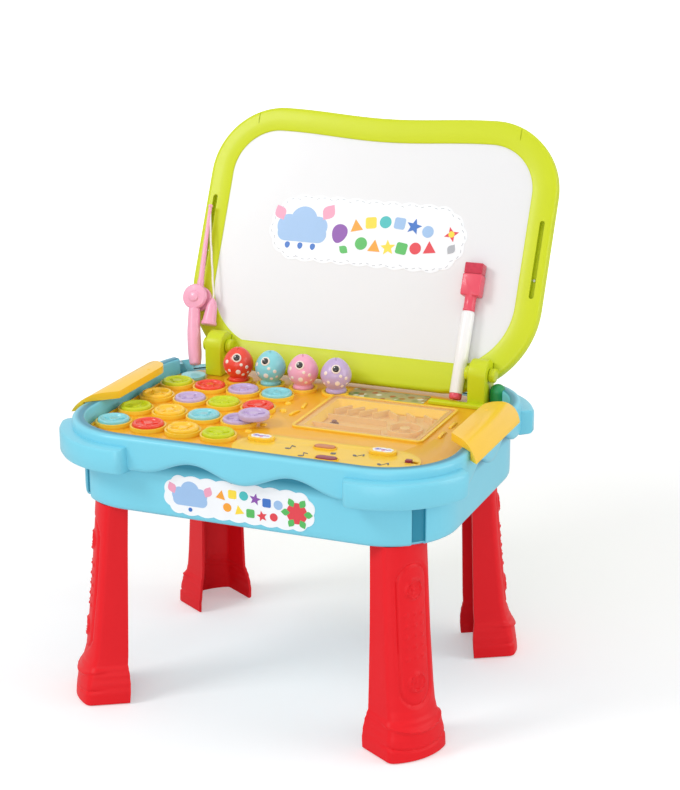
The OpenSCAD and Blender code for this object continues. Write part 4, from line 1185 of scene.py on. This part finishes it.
NOTE_HEAD = [(2.6 * math.cos(a) - 0.6 * math.sin(a), 1.7 * math.sin(a))
             for a in (2 * math.pi * k / 20 for k in range(20))]
STEM = [(-0.45, 0), (0.45, 0), (0.45, 9), (-0.45, 9)]
FLAG = [(0, 9), (3.6, 6.6), (3.9, 4.4), (2.6, 5.6), (0, 6.6)]
note_marks = []
for x, y, turn in ((43, -96, 20), (88, -78, -35), (117, -92, -30), (24, -82, 10)):
    c, s = ray(turn)
    for outline, dx in ((NOTE_HEAD, 0), (STEM, 2.4), (FLAG, 2.4)):
        note_marks.append((shifted(outline, x + dx * c, y + dx * s, turn), BLACK))
note_marks.append((shifted(SQUARE, 68, -80, 10, 0.45), BLACK))
print_set("note_print", note_marks, TUB @ moved(0, 0, PANEL_Z + 2), "root", 0.18)
for name, (x, y), turn in (("song", (-9, -67), 12), ("note", (109, -62), -8)):
    top = TUB @ moved(x, y, PANEL_Z + 5)
    patch = plate(f"{name}_patch", scalloped(20, 10.5, 9, 0.9), 0, 0.3, 0)
    finish(settle(patch, top), f"button_{name}", PAPER, "printed_paper")
    shapes = [(shifted(circle(2.9), -5.2, 0.4), LILAC),
              (shifted(circle(1.3), -5.2, 0.4), INK_BLUE),
              (shifted(stadium(10, 1.7), 1.6, 0.2, turn), INK_VIOLET),
              (shifted(circle(1.8), 6, 0.5), LILAC),
              (shifted(leaf(2.2), 1, -2.4, 70), INK_PINK)]
    print_set(f"{name}_print", shapes, top @ moved(0, 0, 0.29), f"button_{name}", 0.12)
for name, (x, y) in (("oval_back", (55, -68)), ("oval_front", (68, -96))):
    rim = loft(f"{name}_rim", [[(px, py, z) for px, py in stadium(length, width)]
                               for length, width, z in
                               ((20.8, 9.8, 0), (23, 12, 0), (23, 12, 1), (22, 11, 1.4),
                                (20.8, 9.8, 1))], loop=True)
    finish(settle(rim, TUB @ moved(x, y, PANEL_Z + 2)), "root", SUN, "yellow_plastic")


# ---- lid --------------------------------------------------------------------

def lid_ring(inset, floor=None):
    """The lid's outline moved in by inset, and kept above a lower line."""
    hw = LID_W / 2
    points = arc(-hw + LID_RB, LID_RB, LID_RB - inset, 180, 270, 24)
    left, right = points[-1], (hw - LID_RB, inset)
    points += [(left[0] + (right[0] - left[0]) * k / 16, inset) for k in range(1, 16)]
    points += arc(hw - LID_RB, LID_RB, LID_RB - inset, 270, 360, 24)
    low, high = LID_RB, LID_H - LID_RT
    points += [(hw - inset, low + (high - low) * k / 8) for k in range(1, 8)]
    points += arc(hw - LID_RT, LID_H - LID_RT, LID_RT - inset, 0, 90, 24)
    for k in range(1, 32):
        x = (hw - LID_RT) * (1 - k / 16)
        dip = LID_DIP * (1 + math.cos(math.pi * x / (hw - LID_RT))) / 2
        points.append((x, LID_H - inset - dip))
    points += arc(-hw + LID_RT, LID_H - LID_RT, LID_RT - inset, 90, 180, 24)
    points += [(-hw + inset, high + (low - high) * k / 8) for k in range(1, 8)]
    return [(x, max(s, floor) if floor else s) for x, s in points]


EAR_GAP = 0.5


def cleared(piece):
    """Cuts the pockets for the hinge ears out of one of the lid's mouldings."""
    cutters = []
    for side in (-1, 1):
        low = side * EAR_X - EAR_W / 2 - EAR_GAP
        high = side * EAR_X + EAR_W / 2 + EAR_GAP
        ring = circle(EAR_R + EAR_GAP, 48)
        cutters.append(loft("cut", [[(x, HINGE_S + py, HINGE_N + pz) for py, pz in ring]
                                    for x in (low, high)]))
        cutters.append(block("cut", (low, -20, -40), (high, HINGE_S + 6, 40), 0))
    for cutter in cutters:
        carve(piece, cutter)
    return piece


SLOT_S, SLOT_LONG, SLOT_WIDE = 140, 78, 5
SEAM_X, SEAM_HALF = 142, 0.45


def slotted(piece):
    """Cuts the side slots and the fine seams at the top out of the lid's frame."""
    for side in (-1, 1):
        slot = loft("cut", [[(side * (LID_W / 2 - 10) + py, SLOT_S + px, n)
                             for px, py in stadium(SLOT_LONG, SLOT_WIDE)] for n in (-7, 5)])
        carve(piece, slot)
        seam = block("cut", (side * SEAM_X - SEAM_HALF, 258, -0.9),
                     (side * SEAM_X + SEAM_HALF, 290, 5), 0)
        carve(piece, seam)
    return piece


# how far in from the outline, the height, and the line above which it keeps
FRAME_SECTION = [(BAR_W, -1.45, BAND_W), (BAR_W, -0.8, BAND_W),
                 (BAR_W - 0.4, -0.3, BAND_W - 0.4), (BAR_W - 1.2, 0, BAND_W - 1.2),
                 (12, 0, None), (4.2, 0, None), (2.1, -0.35, None), (0.7, -1.4, None),
                 (0, -3.2, None), (0, -9.95, None), (BAR_W - 4, -9.95, BAND_W - 4),
                 (BAR_W - 4, -1.45, BAND_W - 4)]
lid_frame = loft("lid_frame_moulding",
                 [[(x, s, n) for x, s in lid_ring(inset, floor)]
                  for inset, n, floor in FRAME_SECTION], loop=True)
slotted(cleared(lid_frame))
finish(settle(lid_frame, LID), "lid", LIME, "lime_plastic", "lid_frame")
lid_back = loft("lid_back_moulding",
                [[(x, s, n) for x, s in lid_ring(inset)]
                 for inset, n in ((1.2, -9.95), (0.3, -10.2), (0, -10.8), (0.4, -11.5),
                                  (1.8, -11.9), (4, -12), (30, -12), (31.5, -11.6),
                                  (33, -11.2), (60, -11.2))])
cleared(lid_back)
for x, s in ((-176, 120), (176, 120), (-130, 264), (130, 264), (0, 260), (-60, 12), (60, 12)):
    drilled(lid_back, 3.1, -13, -11, 24, moved(x, s, 0))
finish(settle(lid_back, LID), "lid", LIME, "lime_plastic", "lid_back_panel")
for side in (-1, 1):
    for hand in (-1, 1):
        x = side * EAR_X + hand * (EAR_W / 2 + EAR_GAP + 2.9)
        boss = loft("lid_hinge_boss", [[(x + dx, HINGE_S + py, HINGE_N + pz)
                                        for py, pz in circle(r, 36)]
                                       for dx, r in ((-2.9, 6.2), (-2.5, 6.8), (-1.9, 7),
                                                     (1.9, 7), (2.5, 6.8), (2.9, 6.2))])
        root = block("lid_boss_root", (x - 2.9, HINGE_S - 1, -1),
                     (x + 2.9, HINGE_S + 7, 8), 0.6)
        carve(boss, root, operation="UNION")
        finish(settle(boss, LID), "lid", LIME, "lime_plastic")


# ---- latches ----------------------------------------------------------------

for side, word in SIDES:
    latch = of_cad(f"latch_{word}", f"latch_{word}_moulding", 0.9, 4, 28)
    finish(latch, f"latch_{word}", SUN, "yellow_plastic", f"latch_{word}", angle=50)
    stud = turned(f"latch_{word}_mark", [(1.7, 0), (1.7, 0.3), (1.2, 0.5), (0.3, 0.5)], 20)
    finish(settle(stud, TUB @ moved(side * 176, 30, 278.4)), f"latch_{word}", SUN,
           "yellow_plastic")


# ---- marker -----------------------------------------------------------------

def marker_place(s):
    """A place on the marker's axis, s from its foot."""
    return LID @ moved(118.5, -6.5 + s, 6.8) @ turned_by(-90, "X")


barrel = turned("marker_barrel_moulding",
                [(5.3, 0), (6.3, 0.2), (6.5, 0.8), (6.5, 79.6), (6.2, 80.6), (5.6, 81.4),
                 (5.3, 82)])
finish(settle(barrel, marker_place(6)), "marker", WHITE, "white_plastic", "marker_barrel")
plug = turned("marker_plug_moulding",
              [(3.6, 0), (5.2, 0.3), (6, 1.1), (6.25, 2.4), (6.25, 5.2), (6, 6)])
finish(settle(plug, marker_place(0)), "marker", CAP_RED, "red_plastic", "marker_plug")
collar = turned("marker_cap_moulding",
                [(5.6, 0), (6, 0.5), (6.05, 2.4), (5.7, 3), (5.7, 13), (6.2, 15.6), (6.6, 17)])
head = block("head", (-9.8, -6.3, 15), (9.8, 7.9, 37), 1.6, 4)
carve(collar, head, operation="UNION")
finish(settle(collar, marker_place(88)), "marker", CAP_RED, "red_plastic", "marker_cap")
eraser = block("marker_eraser_felt", (-9.3, -5.8, 0), (9.3, 7.2, 11), 1.2, 4)
finish(settle(eraser, marker_place(125)), "marker", FELT, "eraser_felt", "marker_eraser")
for low in (19.5, 29.5):
    rib = block("marker_cap_rib", (-9.9, -5.8, low), (9.9, 7.2, low + 0.8), 0.3)
    finish(settle(rib, marker_place(88)), "marker", CAP_RED, "red_plastic")


# ---- fishing rod ------------------------------------------------------------

def along(route, count):
    """Points on one smooth curve through a route, evenly by step."""
    spots = []
    last = len(route) - 1
    for k in range(count + 1):
        d = last * k / count
        i = min(int(d), last - 1)
        t = d - i
        p = [Vector(route[min(max(i + j, 0), last)]) for j in (-1, 0, 1, 2)]
        spots.append(0.5 * ((2 * p[1]) + (p[2] - p[0]) * t
                            + (2 * p[0] - 5 * p[1] + 4 * p[2] - p[3]) * t * t
                            + (3 * p[1] - p[0] - 3 * p[2] + p[3]) * t ** 3))
    return spots


def hose(name, route, radii, count):
    """A round bar of changing thickness along a route."""
    spots = along(route, count)
    sizes = along([(r, 0, 0) for r in radii], count)
    rings = []
    for k, spot in enumerate(spots):
        ahead = (spots[min(k + 1, count)] - spots[max(k - 1, 0)]).normalized()
        u = ahead.cross(Vector((0, 0, 1))).normalized()
        v = ahead.cross(u)
        # both ends are drawn in
        r = sizes[k].x * (0.72 if k in (0, count) else 1)
        rings.append([spot + r * (x * u + y * v) for x, y in circle(1, 28)])
    return loft(name, rings)


grip = hose("rod_grip_moulding",
            [(-161, -3, 13), (-163, 6, 13), (-166, 18, 13), (-169, 31, 13), (-171, 43, 13),
             (-173, 56, 13)], [5.6, 6.8, 7, 6.8, 6.4, 6], 40)
finish(settle(grip, LID), "fishing_rod", PINK, "pink_plastic", "rod_grip", angle=60)
reel = turned("rod_reel_moulding",
              [(12.2, 0.3), (13, 1.2), (13, 4.6), (12.2, 5.4), (9, 5.6), (9, 12.6),
               (12.2, 12.8), (13, 13.6), (13, 16.8), (12.4, 17.8), (11.2, 18.3), (6.4, 18.3),
               (6, 18.5), (5.6, 19.6), (4.8, 20.2), (0.4, 20.3)])
finish(settle(reel, LID @ moved(-173.5, 67, 0)), "fishing_rod", PINK, "pink_plastic",
       "rod_reel")
shaft_from, shaft_to = Vector((-173, 77, 8)), Vector((-177, 166, 8))
shaft = turned("rod_shaft_moulding", [(3.6, 0), (3.5, 8), (3.2, 9), (2.9, 10), (1.75, 86),
                                      (2.3, 86.6), (2.3, 88.4), (1.7, 89)], 28)
settle(shaft, LID @ moved(*shaft_from) @ upright(shaft_to - shaft_from))
finish(shaft, "fishing_rod", PINK, "pink_plastic", "rod_shaft")
lure = turned("lure_moulding",
              [(7.3, 0), (8, 0.7), (8, 3), (7.4, 3.6), (7, 5), (5.6, 20), (5.2, 21.6),
               (4, 25), (2.6, 26.2), (2.2, 27.6), (1.2, 28)])
finish(settle(lure, LID @ moved(-156, 40, 8.5) @ turned_by(-90, "X")), "fishing_rod",
       PINK, "pink_plastic", "lure")

LINE_ROUTE = [(-177, 165, 8), (-176, 158, 8), (-174, 148, 8), (-172, 138, 8), (-170, 128, 8),
              (-167, 117, 8), (-165, 107, 8), (-162, 96, 8), (-160, 86, 8), (-157, 76, 8),
              (-156, 71, 8.5), (-156, 66, 8.5)]
line_points = [LID @ (p * MM) for p in along(LINE_ROUTE, 33)]
only(None)
bpy.ops.curve.primitive_nurbs_path_add()
line = named("fishing_line_cord")
line.data.splines.clear()
spline = line.data.splines.new("POLY")
spline.points.add(len(line_points) - 1)
for point, spot in zip(spline.points, line_points):
    point.co = (*spot, 1)
line.data.dimensions = "3D"
line.data.bevel_depth = 0.001
line.data.bevel_resolution = 3
line.data.use_fill_caps = True
line.data.materials.append(LINE)
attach(line, "fishing_rod")
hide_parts("fishing_line")


# ---- fish -------------------------------------------------------------------

FISH_PROFILE = [(9.6, 0), (10.3, 0.4), (10.5, 1.3), (10.3, 2.4), (9.3, 3.4), (9.1, 4.3),
                (10.3, 6), (12.7, 8.6), (14.5, 11.9), (15.3, 15.1), (15.5, 17.8), (14.9, 21),
                (13.6, 24.3), (11.6, 27.6), (9.3, 30.2), (7.1, 32.1), (4.9, 33.4), (2.2, 34.2),
                (0.3, 34.4)]


def fish_point(turn, z, out):
    """A place on a fish's skin, with the direction that it faces."""
    for (r0, z0), (r1, z1) in zip(FISH_PROFILE, FISH_PROFILE[1:]):
        if z0 <= z <= z1:
            r = r0 + (r1 - r0) * (z - z0) / (z1 - z0)
            slope = math.atan2(-(r1 - r0), z1 - z0)
            break
    x, y = ray(turn)
    facing = Vector((x * math.cos(slope), y * math.cos(slope), math.sin(slope)))
    return Vector((r * x, r * y, z)) + facing * out, facing


def button_on(name, shape, turn, z, out):
    """A turned shape set on a fish's skin."""
    spot, facing = fish_point(turn, z, out)
    return settle(turned(name, shape, 24), moved(*spot) @ upright(facing))


# the first fish's place, the step between fish and the height of their seats
FISH_X, FISH_Y, FISH_STEP, FISH_LIFT = -107, 92, 35.5, 2.8
EYE_Z = 26.6
EYE_RING = [(4.6, -2), (4.6, 0.1), (4.2, 0.5), (3.2, 0.62)]
EYE = [(3.3, -1), (3.3, 0.7), (2.9, 1.3), (1.9, 1.8), (0.2, 2)]
# a painted highlight: a small white dome on each eye that stands for the lamp's reflection
PAINTED_GLINT = [(0.7, 0), (0.6, 0.3), (0.2, 0.45)]
# turn from the eye, height and radius
FISH_SPOTS = ((-44, 22, 2.0), (-30, 13.5, 1.7), (6, 12.5, 2.5), (40, 17, 1.8),
              (-56, 10.5, 1.5), (28, 9, 1.7), (50, 11, 1.4), (18, 20, 1.6))


def make_fish(number, colour, material, slot, look):
    """An egg-shaped fish on a foot; look is the way that its near eye faces."""
    place = TUB @ moved(FISH_X + FISH_STEP * number, FISH_Y, PANEL_Z + FISH_LIFT)
    body = turned("body", FISH_PROFILE, 56)
    mouth = loft("cut", [[(-1.5, y, 35.4), (0, y, 32.6), (1.5, y, 35.4)] for y in (-14, 14)])
    settle(mouth, turned_by(22, "Z"))
    carve(body, mouth)
    soften(body, 0.5, 3, 32)
    body.name = body.data.name = f"fish_{colour}_body"
    finish(settle(body, place), f"fish_{colour}", material, slot, f"fish_{colour}", angle=45)
    whites, blacks, painted_glints, spots = [], [], [], []
    for turn in (look, look + 180):
        whites.append(button_on("w", EYE_RING, turn, EYE_Z, 0))
        blacks.append(button_on("b", EYE, turn, EYE_Z, 0))
        # the painted highlight sits a little aside from and above the eye's middle
        painted_glints.append(button_on("g", PAINTED_GLINT, turn - 6, EYE_Z + 1, 1.6))
        for aside, z, r in FISH_SPOTS:
            dot = [(r, -0.8), (r, 0.12), (r * 0.8, 0.34), (0.2, 0.42)]
            spots.append(button_on("s", dot, turn + aside, z, 0))
    for pieces, word, paint in ((whites, "eye_ring", PALE_SPOT), (blacks, "eye", BLACK),
                                (painted_glints, "eye_painted_glint", WHITE), (spots, "spots", PALE_SPOT)):
        one = joined(f"fish_{colour}_{word}", pieces)
        finish(settle(one, place), f"fish_{colour}", paint, slot)


for number, (colour, material, look) in enumerate((("red", CORAL, -72), ("teal", AQUA, -90),
                                                   ("pink", PINK, -82), ("lilac", LILAC, -68))):
    make_fish(number, colour, material, f"{colour}_plastic", look)


# ---- picking discs ----------------------------------------------------------

DISC_PROFILE = [(0.3, 0.3), (5, 0.3), (5.6, 0), (13.9, 0), (14.8, 0.5), (15, 1.4), (15, 4.5),
                (14.6, 5.4), (13.8, 5.9), (12.6, 6), (11.6, 5.7), (10.9, 4.9), (10.4, 3.9),
                (9.6, 3.5), (5.4, 3.5), (4.8, 3.8), (4.4, 4.8), (3.9, 5.2), (0.3, 5.2)]
# height of a seat's floor over the panel
DISC_LIFT = 1.3
disc = turned("disc", DISC_PROFILE, 56)
DISC_SETS = {"teal": ([(0, 0), (2, 1), (3, 3)], AQUA),
             "red": ([(1, 0), (3, 2), (1, 3)], CORAL),
             "yellow": ([(2, 0), (1, 1), (0, 2)], SUN),
             "lime": ([(3, 0), (0, 1), (2, 2), (0, 3)], LIME),
             "lilac": ([(3, 1), (1, 2), (2, 3)], LILAC)}
for colour, (seats, material) in DISC_SETS.items():
    copies = []
    spots = [(SEAT[0] + i * SEAT[2], SEAT[1] + j * SEAT[3], 0) for i, j in seats]
    # one more lies loose on top of the others
    if colour == "lilac":
        spots.append((SEAT[0] + 3 * SEAT[2] + 15, SEAT[1] + SEAT[3] + 2, 6.3))
    for number, (x, y, up) in enumerate(spots):
        one = copy_of(disc, "disc_copy")
        turn = 37 * number + 11 * len(colour)
        for aside in (0, 120, 240):
            spoke = block("spoke", (4, -1.1, 3), (11.4, 1.1, 4.5), 0.4, 2)
            settle(spoke, turned_by(turn + aside, "Z"))
            one = joined("disc_copy", [one, spoke])
        copies.append(settle(one, moved(x, y, PANEL_Z + DISC_LIFT + up)))
    whole = settle(joined(f"discs_{colour}_set", copies), TUB)
    finish(whole, f"discs_{colour}", material, f"{colour}_plastic", f"discs_{colour}")
removed(disc)


# ---- stage, light and camera ------------------------------------------------

def floor_finish():
    """Pale floor: shaded paint, lifted to white where the camera sees it bare."""
    material, tree, body = shader("pale floor")
    feed(tree, body, Base_Color=(0.80, 0.80, 0.80, 1), Roughness=0.9,
         Specular_IOR_Level=0.1)
    away = node(tree, "ShaderNodeVectorMath", operation="LENGTH")
    wire(tree, away.inputs[0], object_spot(tree))
    far = node(tree, "ShaderNodeMapRange", interpolation_type="SMOOTHSTEP",
               Value=away.outputs["Value"], From_Min=0.5, From_Max=2.0, To_Min=0.30,
               To_Max=1)
    seen = node(tree, "ShaderNodeLightPath").outputs["Is Camera Ray"]
    glow = node(tree, "ShaderNodeEmission", Color=(1, 1, 1, 1),
                Strength=times(tree, seen, far.outputs["Result"]))
    both = node(tree, "ShaderNodeAddShader")
    wire(tree, both.inputs[0], body.outputs["BSDF"])
    wire(tree, both.inputs[1], glow.outputs["Emission"])
    feed(tree, tree.nodes["Material Output"], Surface=both.outputs["Shader"])
    return material


only(None)
bpy.ops.mesh.primitive_plane_add(size=60, location=(0, 0, -0.0005))
floor = named("floor")
floor.data.materials.append(floor_finish())
floor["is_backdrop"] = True

world = bpy.data.worlds.new("studio")
bpy.context.scene.world = world
world.use_nodes = True
sky_tree = world.node_tree
# white to the camera and in what is mirrored or clear, and softer as a light
rays = node(sky_tree, "ShaderNodeLightPath").outputs
seen = larger(sky_tree, larger(sky_tree, rays["Is Camera Ray"], rays["Is Glossy Ray"]),
              rays["Is Transmission Ray"])
AMBIENT = 0.58
feed(sky_tree, sky_tree.nodes["Background"], Color=(1, 1, 1, 1),
     Strength=plus(sky_tree, times(sky_tree, seen, 1 - AMBIENT), AMBIENT))


def lamp(name, spot, target, energy, size):
    bpy.ops.object.light_add(type="AREA", location=spot)
    light = bpy.context.object
    light.name = name
    light.rotation_euler = (Vector(target) - Vector(spot)).to_track_quat("-Z", "Y").to_euler()
    light.data.energy = energy
    light.data.size = size


lamp("key", (-1.5, -1.5, 2.0), (0, 0, 0.3), 23, 0.8)
lamp("side", (2.2, 0.3, 1.0), (0, 0, 0.25), 15, 1.4)
lamp("front", (0.5, -2.4, 0.6), (0, 0, 0.2), 15, 1.6)
lamp("top", (0.2, 0, 2.3), (0, 0, 0.2), 6, 1.8)

# the camera's axes, its roll, and its focal length in rows of the frame
RIGHT = Vector((0.9240, 0.3824, 0))
UP = Vector((-0.1147, 0.2771, 0.9540))
BACK = Vector((0.3648, -0.8815, 0.2999))
ROLL = math.radians(-0.22)
SENSOR, FOCAL, FRAME = 36, 1947.9, 790
right = RIGHT * math.cos(ROLL) + UP * math.sin(ROLL)
up = UP * math.cos(ROLL) - RIGHT * math.sin(ROLL)
bpy.ops.object.camera_add()
camera = bpy.context.object
camera.name = "camera"
camera.data.sensor_width = SENSOR
camera.data.lens = FOCAL * SENSOR / FRAME
camera.data.clip_start, camera.data.clip_end = 0.05, 60
spot = Vector((0.7070, -1.6505, 0.8327))
camera.matrix_world = Matrix([(right[i], up[i], BACK[i], spot[i]) for i in range(3)]
                             + [(0, 0, 0, 1)])
bpy.context.scene.camera = camera
bpy.context.scene.view_settings.view_transform = "Standard"

low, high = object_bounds()
